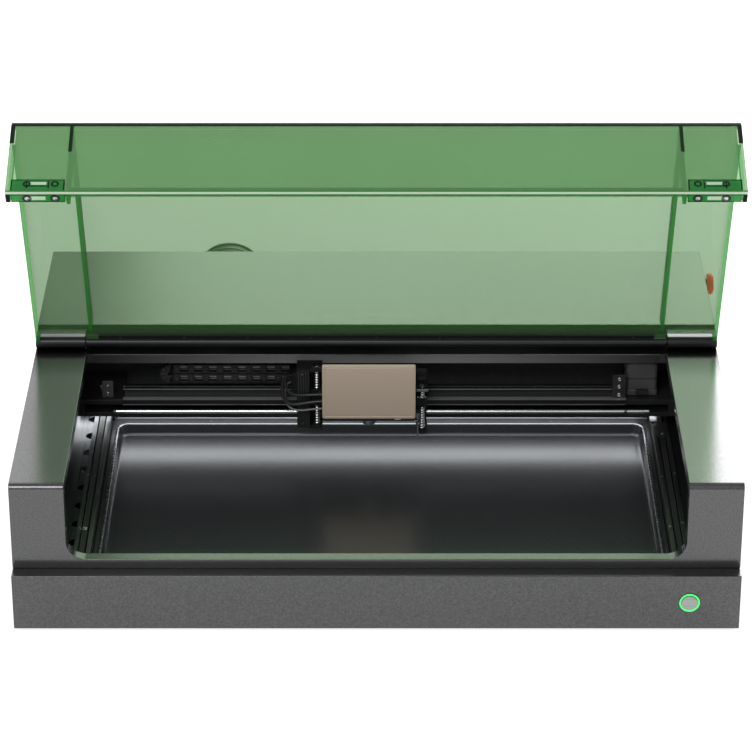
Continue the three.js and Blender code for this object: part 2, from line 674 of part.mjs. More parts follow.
function moduleLead() {
  const r = 2;
  const ring = new THREE.Shape();
  ring.absarc(0, 0, r, 0, 2 * Math.PI);
  const g = new THREE.ExtrudeGeometry(ring, {
    steps: 26,
    curveSegments: 8,
    bevelEnabled: false,
    extrudePath: new THREE.CatmullRomCurve3(LEAD),
  });
  return solid(g);
}

add('carriage_frame', carriageFrame(), M.black());
add('lead_screw_left', leadScrew(SCREW_LEFT_X, 66.5, 143), M.steel());
add('lead_screw_right', leadScrew(SCREW_RIGHT_X, 60.5, 118), M.steel());
add('module_housing', moduleHousing(), M.black());
add('module_cover', moduleCover(), M.champagne());
add('module_nozzle', moduleNozzle(), M.silver());
add('module_lead', moduleLead(), M.rubber());

// ---------------------------------------------------------------- hinge bar
function hingeBar() {
  const back = DECK_FRONT_Y - GAP;
  const nose = new THREE.Shape();
  const r = 7;
  nose.absarc(PIVOT_Y, PIVOT_Z, r, Math.PI * 0.5, Math.PI * 1.18);
  nose.lineTo(PIVOT_Y, ARM_TOP + GAP);
  nose.lineTo(back, ARM_TOP + GAP);
  nose.lineTo(back, PIVOT_Z + r);
  const middle = join(
    box(-ARM_INNER + 0.4, ARM_INNER - 0.4, 76, back, 160, ARM_TOP + 1),
    box(-329, 329, 76, back, ARM_TOP + GAP, 174),
  );
  const sides = [[-HALF_W, -327.3], [327.3, HALF_W]].map(([a, b]) => alongX(nose, a, b));
  const pins = [[-330, -312], [312, 330]].map(([a, b]) =>
    bar('x', [PIVOT_Y, PIVOT_Z], 2.5, a, b, 16));
  return join(middle, ...sides, ...pins);
}

add('hinge_bar', hingeBar(), M.frame());

// ---------------------------------------------------------------- lid
// Modelled closed, relative to the hinge axis, in a group turned to the open position.
const lid = new THREE.Group();
lid.position.set(0, PIVOT_Y, PIVOT_Z);
lid.rotation.x = THREE.MathUtils.degToRad(-OPEN_DEG);
machine.add(lid);

const LID_Y0 = FRONT_Y - PIVOT_Y;
const LID_TOP = DECK_TOP - PIVOT_Z;
const LID_BOTTOM = LID_TOP - LID_FRONT_H;
const LID_HALF = HALF_W - 0.5;

// An L-shaped outline: depth d measured inwards from the lid's outer faces.
function lidOutline(d, tail, inset, lift) {
  const y0 = LID_Y0 + inset;
  const z1 = LID_TOP - inset;
  const z0 = LID_BOTTOM + lift;
  const r = inset ? 0 : 3;
  const s = new THREE.Shape();
  s.moveTo(y0, z0);
  s.lineTo(LID_Y0 + d, z0);
  s.lineTo(LID_Y0 + d, LID_TOP - d);
  s.lineTo(tail, LID_TOP - d);
  s.lineTo(tail, z1);
  s.lineTo(y0 + r, z1);
  if (r) s.absarc(y0 + r, z1 - r, r, Math.PI / 2, Math.PI);
  s.lineTo(y0, z0);
  return s;
}

function lidShell() {
  const panel = alongX(lidOutline(LID_T, -1.6, 0, 0), -LID_HALF, LID_HALF);
  const flanges = [-1, 1].map((s) => {
    const xs = [s * (LID_HALF - LID_T), s * LID_HALF].sort((a, b) => a - b);
    return alongX(lidOutline(LID_FLANGE, -7.6, 0, 0), xs[0], xs[1]);
  });
  const tails = [-1, 1].map((s) => {
    const xs = [s * 327, s * 400].sort((a, b) => a - b);
    return box(xs[0], xs[1], -7.6, 10, 0, 20);
  });
  return cut(join(panel, ...flanges), ...tails);
}

function lidRib(side) {
  const xs = [side * (RIB_X - 4), side * RIB_X].sort((a, b) => a - b);
  return alongX(lidOutline(LID_RIB, -34, LID_T + GAP, RIB_LIFT), xs[0], xs[1]);
}

function lidEdgeStrip() {
  const y0 = LID_Y0 + LID_T + GAP;
  return box(-315.5, 315.5, y0, y0 + 3, LID_BOTTOM + 0.3, LID_BOTTOM + 10);
}

function magnetBlock(side) {
  const y0 = LID_Y0 + LID_T + GAP;
  const xs = [side * 321, side * (LID_HALF - LID_T - GAP)].sort((a, b) => a - b);
  const block = box(xs[0], xs[1], y0, y0 + 10.5, LID_BOTTOM + 0.3, LID_BOTTOM + 10);
  const wells = [331, 360].map((x) =>
    bar('z', [side * x, y0 + 5.4], 3.6, LID_BOTTOM - 1, LID_BOTTOM + 5, 16));
  return cut(block, ...wells);
}

function hingeLeaf() {
  const barrel = bar('x', [0, 0], BARREL_R, -326, 326, 20);
  const leaf = box(-312, 312, -9, 0, 1.6, LID_TOP - LID_T - GAP);
  const bores = [[-330, -308], [308, 330]].map(([a, b]) => bar('x', [0, 0], 2.5 + GAP, a, b, 16));
  return cut(join(barrel, leaf), ...bores);
}

add('lid_shell', lidShell(), M.acrylic(), lid);
add('lid_rib_left', lidRib(-1), M.acrylic(), lid);
add('lid_rib_right', lidRib(1), M.acrylic(), lid);
add('lid_edge_strip', lidEdgeStrip(), M.acrylic(), lid);
add('lid_magnet_block_left', magnetBlock(-1), M.acrylic(), lid);
add('lid_magnet_block_right', magnetBlock(1), M.acrylic(), lid);
add('lid_hinge_leaf', hingeLeaf(), M.frame(), lid);

const laserCutter = new THREE.Group();
laserCutter.add(machine);
export default laserCutter;
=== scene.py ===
import json
import math

import bmesh
import bpy
from mathutils import Matrix, Vector


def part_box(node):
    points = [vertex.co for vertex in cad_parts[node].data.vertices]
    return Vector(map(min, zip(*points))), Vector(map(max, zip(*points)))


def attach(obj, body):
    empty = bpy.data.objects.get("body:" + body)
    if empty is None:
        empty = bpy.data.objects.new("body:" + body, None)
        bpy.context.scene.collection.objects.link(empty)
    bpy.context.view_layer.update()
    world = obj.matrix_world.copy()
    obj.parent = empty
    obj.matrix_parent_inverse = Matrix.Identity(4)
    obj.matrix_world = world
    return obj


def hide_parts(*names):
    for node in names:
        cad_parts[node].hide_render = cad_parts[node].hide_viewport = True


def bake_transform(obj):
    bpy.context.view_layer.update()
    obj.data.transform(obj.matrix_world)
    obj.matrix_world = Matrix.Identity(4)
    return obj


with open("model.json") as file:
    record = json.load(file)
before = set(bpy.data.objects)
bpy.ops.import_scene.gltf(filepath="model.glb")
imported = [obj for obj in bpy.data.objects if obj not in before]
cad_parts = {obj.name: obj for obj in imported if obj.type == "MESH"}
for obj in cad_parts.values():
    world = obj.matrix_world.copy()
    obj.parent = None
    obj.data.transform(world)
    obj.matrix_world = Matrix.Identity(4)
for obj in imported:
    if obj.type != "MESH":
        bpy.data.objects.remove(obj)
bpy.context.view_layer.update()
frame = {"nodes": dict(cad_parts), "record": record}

# Desktop laser cutter: the looks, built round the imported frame.
# Shapes are in millimetres from the casing's own centre line; pt() turns them into the frame's metres.
MM = 0.001
SHIFT = Vector((-7.25, -23.65, 0.0))
NODES = frame["nodes"]
BODY_OF = {n: b for b, ns in frame["record"]["behaviour"]["bodies"].items() for n in ns}
SLOT_OF = {s["node"]: s["material_slot"] for s in frame["record"]["subparts"]}


def pt(x, y, z):
    return (Vector((x, y, z)) + SHIFT) * MM


def lo_hi(node):
    """A CAD node's box in casing millimetres."""
    lo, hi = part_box(node)
    return lo / MM - SHIFT, hi / MM - SHIFT


def middle(node, across):
    """The centre of a CAD node's box in two of its axes."""
    lo, hi = lo_hi(node)
    return tuple((getattr(lo, axis) + getattr(hi, axis)) / 2 for axis in across)


def shader_node(tree, kind, feeds=(), values=(), **settings):
    """A node; feeds are linked to its sockets and values set on them, by name or number."""
    made = tree.nodes.new("ShaderNode" + kind)
    for key, value in settings.items():
        setattr(made, key, value)
    for key, feed in dict(feeds).items():
        tree.links.new(feed, made.inputs[key])
    for key, value in dict(values).items():
        made.inputs[key].default_value = value
    return made


# ---------- camera and stage
CAMERA_PLACE = (-0.00725, -3.24931, 1.79715)
CAMERA_DROP = 26.91     # degrees below level
FLOOR_HALF = 60.0
WORLD_BASE = 0.55
# direction, cosine at which a bright lobe starts, cosine at which it is full, strength
WORLD_LOBES = (
    ((0.75, 0.62, 0.36), 0.60, 0.97, 0.65),
    ((-0.1, 0.87, 0.45), 0.60, 0.97, 1.95),
    ((-0.65, -0.75, 0.45), 0.50, 0.98, 0.35),
)


def make_camera():
    data = bpy.data.cameras.new("camera")
    data.sensor_width = 36.0
    data.lens = 156.0
    data.shift_x = -0.0006
    data.clip_start = 0.05
    data.clip_end = 200.0
    cam = bpy.data.objects.new("camera", data)
    cam.location = CAMERA_PLACE
    cam.rotation_euler = (math.radians(90 - CAMERA_DROP), 0.0, 0.0)
    bpy.context.scene.collection.objects.link(cam)
    bpy.context.scene.camera = cam


def make_stage():
    scene = bpy.context.scene
    scene.view_settings.view_transform = "Standard"
    mesh = bpy.data.meshes.new("floor")
    corners = [(x * FLOOR_HALF, y * FLOOR_HALF, 0) for x, y in ((-1, -1), (1, -1), (1, 1), (-1, 1))]
    mesh.from_pydata(corners, [], [(0, 1, 2, 3)])
    floor = bpy.data.objects.new("floor", mesh)
    scene.collection.objects.link(floor)
    mat = bpy.data.materials.new("pale_floor")
    mat.use_nodes = True
    sockets = mat.node_tree.nodes["Principled BSDF"].inputs
    sockets["Base Color"].default_value = (0.35, 0.35, 0.35, 1)
    sockets["Roughness"].default_value = 0.9
    sockets["Specular IOR Level"].default_value = 0.0
    sockets["Emission Color"].default_value = (1, 1, 1, 1)
    sockets["Emission Strength"].default_value = 0.85
    mesh.materials.append(mat)


def make_world():
    """Pale to the eye; as a light it is a dim room with brighter sides, strongest behind."""
    world = bpy.data.worlds.new("studio")
    bpy.context.scene.world = world
    world.use_nodes = True
    nt = world.node_tree
    nt.nodes.clear()

    outward = shader_node(nt, "VectorMath", {0: shader_node(nt, "TexCoord").outputs["Generated"]},
                          operation="NORMALIZE").outputs[0]
    level = shader_node(nt, "Value").outputs[0]
    level.default_value = WORLD_BASE
    for direction, start, full, gain in WORLD_LOBES:
        dot = shader_node(nt, "VectorMath", {0: outward}, {1: Vector(direction).normalized()},
                          operation="DOT_PRODUCT")
        lobe = shader_node(nt, "MapRange", {"Value": dot.outputs["Value"]},
                           {"From Min": start, "From Max": full, "To Max": gain},
                           interpolation_type="SMOOTHSTEP")
        feeds = {0: level, 1: lobe.outputs["Result"]}
        level = shader_node(nt, "Math", feeds, operation="ADD").outputs[0]
    light = shader_node(nt, "Background", {"Strength": level})
    seen = shader_node(nt, "Background")
    ray = shader_node(nt, "LightPath").outputs["Is Camera Ray"]
    mix = shader_node(nt, "MixShader", {0: ray, 1: light.outputs[0], 2: seen.outputs[0]})
    shader_node(nt, "OutputWorld", {0: mix.outputs[0]})


def area_light(name, place, target, size, power, colour=(1, 1, 1)):
    data = bpy.data.lights.new(name, "AREA")
    data.shape = "RECTANGLE"
    data.size, data.size_y = size
    data.energy = power
    data.color = colour
    lamp = bpy.data.objects.new(name, data)
    lamp.location = place
    lamp.rotation_euler = (Vector(target) - Vector(place)).to_track_quat("-Z", "Y").to_euler()
    lamp.visible_camera = False
    bpy.context.scene.collection.objects.link(lamp)


make_camera()
make_stage()
make_world()
COOL = (0.94, 0.97, 1.0)
area_light("chamber_lamp", pt(-12, 121, 56), pt(-12, 117, 0), (0.67, 0.03), 0.35, COOL)
area_light("ledge_lamp", pt(-336, 110, 62), pt(-336, 106, 0), (0.05, 0.05), 0.035, COOL)
area_light("back_panel", (0.62, 1.35, 0.85), (0.3, 0.0, 0.2), (2.1, 1.2), 45.0)
area_light("key", (-0.7, -2.4, 2.4), (0, 0, 0.1), (1.6, 1.0), 33.0)


# ---------- materials
class Nodes:
    """A small material tree: object-space textures feeding one Principled shader."""

    def __init__(self, name):
        self.mat = bpy.data.materials.new(name)
        self.mat.use_nodes = True
        self.nt = self.mat.node_tree
        self.bsdf = self.nt.nodes["Principled BSDF"]
        self.out = self.nt.nodes["Material Output"]
        self.coord = self.node("TexCoord").outputs["Object"]
        self.normal = None

    def node(self, kind, feeds=(), values=(), **settings):
        return shader_node(self.nt, kind, feeds, values, **settings)

    def noise(self, scale, detail=3.0, stretch=None):
        coord = self.coord
        if stretch:
            coord = self.node("Mapping", {"Vector": coord}, {"Scale": stretch}).outputs["Vector"]
        values = {"Scale": scale, "Detail": detail, "Roughness": 0.55}
        return self.node("TexNoise", {"Vector": coord}, values).outputs["Fac"]

    def cells(self, scale):
        return self.node("TexVoronoi", {"Vector": self.coord}, {"Scale": scale}).outputs["Distance"]

    def along(self, axis):
        return self.node("SeparateXYZ", {0: self.coord}).outputs[axis]

    def maths(self, operation, *feeds):
        return self.node("Math", dict(enumerate(feeds)), operation=operation).outputs[0]

    def spread(self, value, lo, hi, low_in=0.3, high_in=0.7):
        limits = {"From Min": low_in, "From Max": high_in, "To Min": lo, "To Max": hi}
        return self.node("MapRange", {"Value": value}, limits).outputs["Result"]

    def mix(self, feeds, values):
        return self.node("Mix", feeds, values, data_type="RGBA").outputs["Result"]

    def blend(self, value, a, b, low_in=0.3, high_in=0.7):
        factor = self.spread(value, 0.0, 1.0, low_in, high_in)
        return self.mix({"Factor": factor}, {"A": (*a, 1), "B": (*b, 1)})

    def bump(self, value, strength, distance):
        feeds = {"Height": value}
        if self.normal is not None:
            feeds["Normal"] = self.normal
        values = {"Strength": strength, "Distance": distance}
        self.normal = self.node("Bump", feeds, values).outputs["Normal"]
        self.nt.links.new(self.normal, self.bsdf.inputs["Normal"])

    def paint(self, colour):
        self.nt.links.new(colour, self.bsdf.inputs["Base Color"])

    def roughen(self, value, least, most):
        self.nt.links.new(self.spread(value, least, most), self.bsdf.inputs["Roughness"])

    def set(self, **values):
        for key, value in values.items():
            socket = self.bsdf.inputs[key.replace("_", " ")]
            socket.default_value = (*value, 1) if isinstance(value, tuple) else value


PAINTED_HINGE_REFLECTION = (0.004, 0.004, 0.004)
SHADE_Y = (-0.042, 0.012)   # metres, where the painted reflection that darkens the arm tops starts and finishes
SHADE_Z = (0.158, 0.164)


def powder(name, dark, light, rough, grain=1100.0, depth=0.00022, strength=0.35, metallic=0.0,
           shade=False):
    """Fine textured powder coat: an orange-peel grain, sparse speckle and faint blotches.

    With shade the arm tops get a painted darkening towards the hinge, a painted reflection of the black
    bar.
    """
    n = Nodes(name)
    fine = n.noise(grain, 2.0)
    colour = n.blend(fine, dark, light, 0.35, 0.68)
    if shade:
        back = n.spread(n.along("Y"), 0.0, 0.99, *SHADE_Y)
        high = n.spread(n.along("Z"), 0.0, 1.0, *SHADE_Z)
        painted_reflection_mask = n.maths("MULTIPLY", back, high)
        # the arm tops near the hinge are painted dark: a painted reflection of the black hinge bar
        colour = n.mix({"Factor": painted_reflection_mask, "A": colour}, {"B": (*PAINTED_HINGE_REFLECTION, 1)})
    n.paint(colour)
    n.roughen(n.noise(7.0, 4.0), rough - 0.012, rough + 0.018)
    n.bump(fine, strength, depth)
    n.bump(n.cells(grain * 0.55), strength * 0.45, depth)
    n.set(Metallic=metallic)
    return n.mat


def brushed(name, dark, light, rough, along="x", metallic=1.0, strength=0.12):
    n = Nodes(name)
    stretch = {"x": (6, 420, 420), "y": (420, 6, 420), "z": (420, 420, 6)}[along]
    streak = n.noise(1.0, 4.0, stretch)
    n.paint(n.blend(streak, dark, light))
    n.roughen(streak, rough - 0.06, rough + 0.08)
    n.bump(streak, strength, 0.0001)
    n.set(Metallic=metallic)
    return n.mat


def moulded(name, dark, light, rough, grain=700.0, strength=0.2, coat=0.0, metallic=0.0, spec=0.5):
    n = Nodes(name)
    soft = n.noise(30.0, 3.0)
    n.paint(n.blend(soft, dark, light))
    n.roughen(soft, rough - 0.05, rough + 0.07)
    n.bump(n.noise(grain, 2.0), strength, 0.0001)
    n.set(Coat_Weight=coat, Metallic=metallic, Specular_IOR_Level=spec)
    return n.mat


def acrylic(name, tint, body, share, rough=0.06):
    """Green acrylic: what is behind it shows through tinted, over a faint milky green of its own."""
    n = Nodes(name)
    haze = n.noise(5.0, 5.0)
    n.paint(n.blend(haze, tuple(c * 0.94 for c in body), body))
    n.roughen(n.noise(18.0, 4.0, (1.0, 1.0, 0.25)), rough - 0.02, rough + 0.03)
    clear = n.node("BsdfTransparent", (), {"Color": (*tint, 1)})
    milky = n.spread(haze, share - 0.01, share + 0.01)
    mix = n.node("MixShader", {0: milky, 1: clear.outputs[0], 2: n.bsdf.outputs[0]})
    n.nt.links.new(mix.outputs[0], n.out.inputs["Surface"])
    return n.mat


def fading(name, middle_colour, ends, start, stop):
    """A strip with a painted highlight: lightest in the middle of its length, darker towards its ends."""
    n = Nodes(name)
    n.paint(n.blend(n.maths("ABSOLUTE", n.along("X")), middle_colour, ends, start, stop))
    grain = n.noise(900.0, 2.0)
    n.roughen(grain, 0.40, 0.52)
    n.bump(grain, 0.1, 0.0001)
    return n.mat


def glow(name, colour, strength):
    n = Nodes(name)
    soft = n.noise(400.0, 2.0)
    n.paint(n.blend(soft, tuple(c * 0.9 for c in colour), colour))
    n.set(Emission_Color=colour, Emission_Strength=strength, Roughness=0.35)
    return n.mat


M = {
    "casing": powder("casing_powder", (0.080, 0.080, 0.081), (0.120, 0.120, 0.122), 0.19, 620.0,
                     strength=0.10, metallic=0.8),
    # the arm finish carries the painted reflection of the hinge bar
    "arm": powder("arm_powder", (0.092, 0.092, 0.093), (0.132, 0.132, 0.134), 0.19, 620.0,
                  strength=0.08, metallic=0.8, shade=True),
    "deck": powder("hood_powder", (0.125, 0.126, 0.126), (0.158, 0.159, 0.159), 0.25, 520.0,
                   strength=0.05, metallic=0.8),
    "inner": powder("inner_black", (0.012, 0.012, 0.013), (0.022, 0.022, 0.023), 0.40, 900.0),
    "black": moulded("black_plastic", (0.011, 0.011, 0.012), (0.020, 0.020, 0.021), 0.42),
    "anodised": brushed("black_anodised", (0.016, 0.017, 0.018), (0.035, 0.036, 0.038), 0.34, "x",
                        0.6, 0.06),
    "grey": brushed("grey_anodised", (0.075, 0.075, 0.075), (0.11, 0.11, 0.11), 0.36, "x", 0.5, 0.05),
    "column": brushed("black_column", (0.014, 0.015, 0.016), (0.030, 0.031, 0.033), 0.36, "z",
                      0.5, 0.06),
    "rail": brushed("rail_aluminium", (0.045, 0.047, 0.05), (0.10, 0.104, 0.11), 0.36, "y", 0.8),
    "ledge": brushed("ledge_metal", (0.035, 0.036, 0.038), (0.085, 0.088, 0.092), 0.32, "y", 0.8),
    "steel": brushed("ground_steel", (0.62, 0.64, 0.66), (0.82, 0.83, 0.85), 0.18, "x"),
    "screw": brushed("screw_steel", (0.48, 0.49, 0.50), (0.72, 0.72, 0.73), 0.24, "z"),
    "bolt": brushed("black_bolt", (0.05, 0.05, 0.052), (0.13, 0.13, 0.135), 0.28, "z", 0.9),
    "bed": powder("bed_enamel", (0.026, 0.028, 0.031), (0.036, 0.038, 0.042), 0.25, 700.0,
                  0.00001, 0.01, 0.35),
    "border": moulded("bed_border", (0.008, 0.008, 0.009), (0.013, 0.013, 0.014), 0.42, 300.0, 0.02),
    "rim": brushed("bed_rim_painted_highlight", (0.13, 0.135, 0.14), (0.18, 0.185, 0.19), 0.24, "x", 0.8, 0.02),
    "champagne": powder("champagne_blast", (0.59, 0.475, 0.38), (0.67, 0.545, 0.44), 0.42,
                        2600.0, 0.00006, 0.25, 0.3),
    "rubber": moulded("rubber", (0.008, 0.008, 0.008), (0.018, 0.018, 0.018), 0.72, 500.0, 0.35),
    "belt": moulded("belt_rubber", (0.010, 0.010, 0.010), (0.020, 0.020, 0.020), 0.60, 900.0),
    # the e-stop cap emits a painted glow so it reads red through the green lid; it is no lamp
    "red": glow("red_gloss_painted_glow", (0.90, 0.030, 0.016), 0.8),
    "silver": brushed("satin_silver", (0.52, 0.54, 0.53), (0.70, 0.72, 0.70), 0.30, "x"),
    "button": brushed("button_satin", (0.30, 0.32, 0.31), (0.40, 0.42, 0.40), 0.34, "x"),
    "zinc": moulded("zinc_sheet", (0.34, 0.35, 0.36), (0.50, 0.51, 0.52), 0.38, 60.0, 0.05, 0.0,
                    0.9),
    "board": moulded("solder_mask", (0.010, 0.075, 0.032), (0.016, 0.11, 0.045), 0.35, 220.0, 0.1),
    "brass": brushed("brass", (0.55, 0.38, 0.14), (0.72, 0.52, 0.22), 0.28, "y"),
    # the front panel's copy is painted lighter and the side flanges' copy darker: painted light and shade
    # on one green acrylic
    "sheet": acrylic("green_acrylic", (0.504, 0.586, 0.491), (0.275, 0.580, 0.232), 0.15),
    "side_sheet": acrylic("green_acrylic_side", (0.44, 0.53, 0.43), (0.275, 0.580, 0.232), 0.18),
    "front_sheet": acrylic("green_acrylic_front", (0.535, 0.622, 0.521), (0.350, 0.760, 0.325), 0.20),
    "edge": acrylic("acrylic_edge", (0.34, 0.74, 0.34), (0.04, 0.26, 0.045), 0.50, 0.12),
    "fold": moulded("acrylic_seam", (0.003, 0.009, 0.003), (0.005, 0.014, 0.005), 0.55, 300.0,
                    0.02, spec=0.08),
    "pad": acrylic("bonded_pad", (0.10, 0.75, 0.14), (0.01, 0.26, 0.04), 0.55, 0.10),
    "painted_highlight_edge": acrylic("acrylic_painted_highlight", (0.75, 0.95, 0.75), (0.55, 0.72, 0.52), 0.8, 0.15),
    "block": acrylic("acrylic_block", (0.10, 0.62, 0.12), (0.03, 0.30, 0.05), 0.62, 0.08),
    "cable": moulded("cable_sheath", (0.018, 0.018, 0.019), (0.035, 0.035, 0.037), 0.38, 400.0, 0.1),
    "grey_cable": moulded("grey_wire", (0.16, 0.16, 0.165), (0.24, 0.24, 0.245), 0.35, 400.0, 0.1),
    "link": moulded("chain_link", (0.020, 0.020, 0.021), (0.036, 0.036, 0.038), 0.34, 500.0, 0.15),
    # lit: a painted highlight, lightest in the middle of the strip
    "lit": fading("painted_highlight_strip", (0.21, 0.21, 0.208), (0.030, 0.030, 0.030), 0.04, 0.31),
    "plate": brushed("corner_plate", (0.10, 0.10, 0.105), (0.16, 0.16, 0.165), 0.34, "y", 0.8, 0.04),
    "lip": brushed("beam_lip_painted_highlight", (0.34, 0.34, 0.34), (0.44, 0.44, 0.44), 0.32, "x", 0.7, 0.04),
    "motor": moulded("motor_black", (0.055, 0.055, 0.056), (0.080, 0.080, 0.082), 0.36, 400.0, 0.1),
    "ring": glow("button_ring", (0.05, 0.62, 0.12), 1.1),
}


# ---------- mesh builder
AXES = {"x": (1, 2, 0), "y": (0, 2, 1), "z": (0, 1, 2)}


def arc_rect(u0, u1, v0, v1, r, n=6):
    """A rounded rectangle as a loop of (u, v) points, counter-clockwise."""
    out = []
    for cu, cv, a in ((u1 - r, v0 + r, -90), (u1 - r, v1 - r, 0), (u0 + r, v1 - r, 90),
                      (u0 + r, v0 + r, 180)):
        for i in range(n + 1):
            t = math.radians(a + 90.0 * i / n)
            out.append((cu + r * math.cos(t), cv + r * math.sin(t)))
    return out


def circle(cu, cv, r, n=32, turn=0.0):
    angles = [turn + 2 * math.pi * i / n for i in range(n)]
    return [(cu + r * math.cos(t), cv + r * math.sin(t)) for t in angles]


class Piece:
    """A mesh being made, in casing millimetres; done() turns it into an object on a body."""

    def __init__(self, name):
        self.name = name
        self.bm = bmesh.new()
        self.mats = []

    def mat(self, key):
        if key not in self.mats:
            self.mats.append(key)
        return self.mats.index(key)

    def vert(self, axis, u, v, w):
        i, j, k = AXES[axis]
        p = [0.0, 0.0, 0.0]
        p[i], p[j], p[k] = u, v, w
        return self.bm.verts.new(p)

    def join(self, rings, key, closed=False):
        """Quads between consecutive rings of vertices; an open run is capped at both ends."""
        m = self.mat(key)
        if closed:
            rings = rings + rings[:1]
        for a, b in zip(rings, rings[1:]):
            for i in range(len(a)):
                j = (i + 1) % len(a)
                self.bm.faces.new((a[i], a[j], b[j], b[i])).material_index = m
        if not closed:
            for cap in (list(reversed(rings[0])), rings[-1]):
                self.bm.faces.new(cap).material_index = m
        return self

    def loft(self, axis, loops, key, closed=False):
        """loops is a list of (loop of (u, v), w), joined in their order."""
        return self.join([[self.vert(axis, u, v, w) for u, v in loop] for loop, w in loops], key, closed)

    def box(self, x0, x1, y0, y1, z0, z1, key, bevel=0.0, n=2):
        """A box; with a bevel all its edges are rounded."""
        m = self.mat(key)
        made = bmesh.ops.create_cube(self.bm, size=1.0)["verts"]
        for v in made:
            v.co = Vector((x0 + (v.co.x + 0.5) * (x1 - x0), y0 + (v.co.y + 0.5) * (y1 - y0),
                           z0 + (v.co.z + 0.5) * (z1 - z0)))
        for f in {f for v in made for f in v.link_faces}:
            f.material_index = m
        if bevel:
            edges = list({e for v in made for e in v.link_edges})
            bmesh.ops.bevel(self.bm, geom=edges, offset=bevel, segments=n, profile=0.5,
                            affect="EDGES", clamp_overlap=True, material=-1)
        return self

    def rod(self, axis, c, r, a, b, key, n=28, chamfer=0.0):
        steps = [(r - chamfer, a), (r, a + chamfer), (r, b - chamfer), (r - chamfer, b)]
        return self.loft(axis, [(circle(*c, q, n), w) for q, w in steps], key)

    def lathe(self, axis, c, profile, key, n=40, closed=False):
        """profile is (radius, position along the axis) from end to end; closed joins it in a ring."""
        return self.loft(axis, [(circle(*c, max(r, 0.001), n), w) for r, w in profile], key, closed)

    def screws(self, axis, places, face, r, h, key="bolt", sign=1):
        """Socket-head screws standing h proud of a face, each with a hexagon recess."""
        turn = 0.3
        for c in places:
            corners = circle(*c, r * 0.52, 6, turn)
            recess = []
            for a, b in zip(corners, corners[1:] + corners[:1]):
                for t in (0, 0.25, 0.5, 0.75):
                    recess.append((a[0] + (b[0] - a[0]) * t, a[1] + (b[1] - a[1]) * t))
            head = circle(*c, r, len(recess), turn)
            top = circle(*c, r * 0.88, len(recess), turn)
            self.loft(axis, [(head, face), (head, face + sign * h * 0.8), (top, face + sign * h),
                             (recess, face + sign * h), (recess, face + sign * h * 0.35)], key)
        return self

    def tube(self, points, r, key, n=10):
        """A round tube along points, carried without twisting."""
        pts = [Vector(p) for p in points]
        rings = []
        normal = None
        for i, p in enumerate(pts):
            ahead = (pts[min(i + 1, len(pts) - 1)] - pts[max(i - 1, 0)]).normalized()
            if normal is None:
                ref = Vector((0, 0, 1)) if abs(ahead.z) < 0.9 else Vector((1, 0, 0))
                normal = ahead.cross(ref).normalized()
            normal = (normal - ahead * normal.dot(ahead)).normalized()
            side = ahead.cross(normal)
            rings.append([self.bm.verts.new(p + u * normal + v * side) for u, v in circle(0, 0, r, n)])
        return self.join(rings, key)

    def take(self, node, key, dissolve=True):
        """Starts from a CAD node's own solid, with its flat faces whole again."""
        m = self.mat(key)
        part = bmesh.new()
        part.from_mesh(NODES[node].data)
        bmesh.ops.remove_doubles(part, verts=part.verts, dist=1e-6)
        if dissolve:
            bmesh.ops.dissolve_limit(part, angle_limit=math.radians(0.4), verts=part.verts,
                                     edges=part.edges, use_dissolve_boundaries=False)
        for v in part.verts:
            v.co = v.co / MM - SHIFT
        for f in part.faces:
            f.material_index = m
        temp = bpy.data.meshes.new("temp")
        part.to_mesh(temp)
        part.free()
        self.bm.from_mesh(temp)
        bpy.data.meshes.remove(temp)
        return self

    def turn(self, matrix):
        bmesh.ops.transform(self.bm, matrix=matrix, verts=self.bm.verts)
        return self

    def done(self, body, slot, replaces=(), bevel=0.0, segments=2, smooth=35.0):
        bmesh.ops.recalc_face_normals(self.bm, faces=self.bm.faces)
        for f in self.bm.faces:
            f.smooth = True
        for e in self.bm.edges:
            if len(e.link_faces) == 2:
                e.smooth = e.calc_face_angle(0.0) < math.radians(smooth)
        for v in self.bm.verts:
            v.co = (v.co + SHIFT) * MM
        mesh = bpy.data.meshes.new(self.name)
        self.bm.to_mesh(mesh)
        self.bm.free()
        for key in self.mats:
            mesh.materials.append(M[key])
        obj = bpy.data.objects.new(self.name, mesh)
        bpy.context.scene.collection.objects.link(obj)
        if bevel:
            b = obj.modifiers.new("bevel", "BEVEL")
            b.width = bevel * MM
            b.segments = segments
            b.limit_method = "ANGLE"
            b.angle_limit = math.radians(30.0)
            b.use_clamp_overlap = True
            b.miter_outer = "MITER_ARC"
        w = obj.modifiers.new("weighted", "WEIGHTED_NORMAL")
        w.keep_sharp = not bevel
        bpy.context.view_layer.update()
        graph = bpy.context.evaluated_depsgraph_get()
        final = bpy.data.meshes.new_from_object(obj.evaluated_get(graph), depsgraph=graph)
        obj.modifiers.clear()
        obj.data = final
        if body:
            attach(obj, body)
        if replaces:
            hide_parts(*replaces)
        return obj


# ---------- pieces that are the CAD solid, refined
SLOTTED = ("rear_hood", "rear_panel")   # a flat face with slots keeps its own triangles
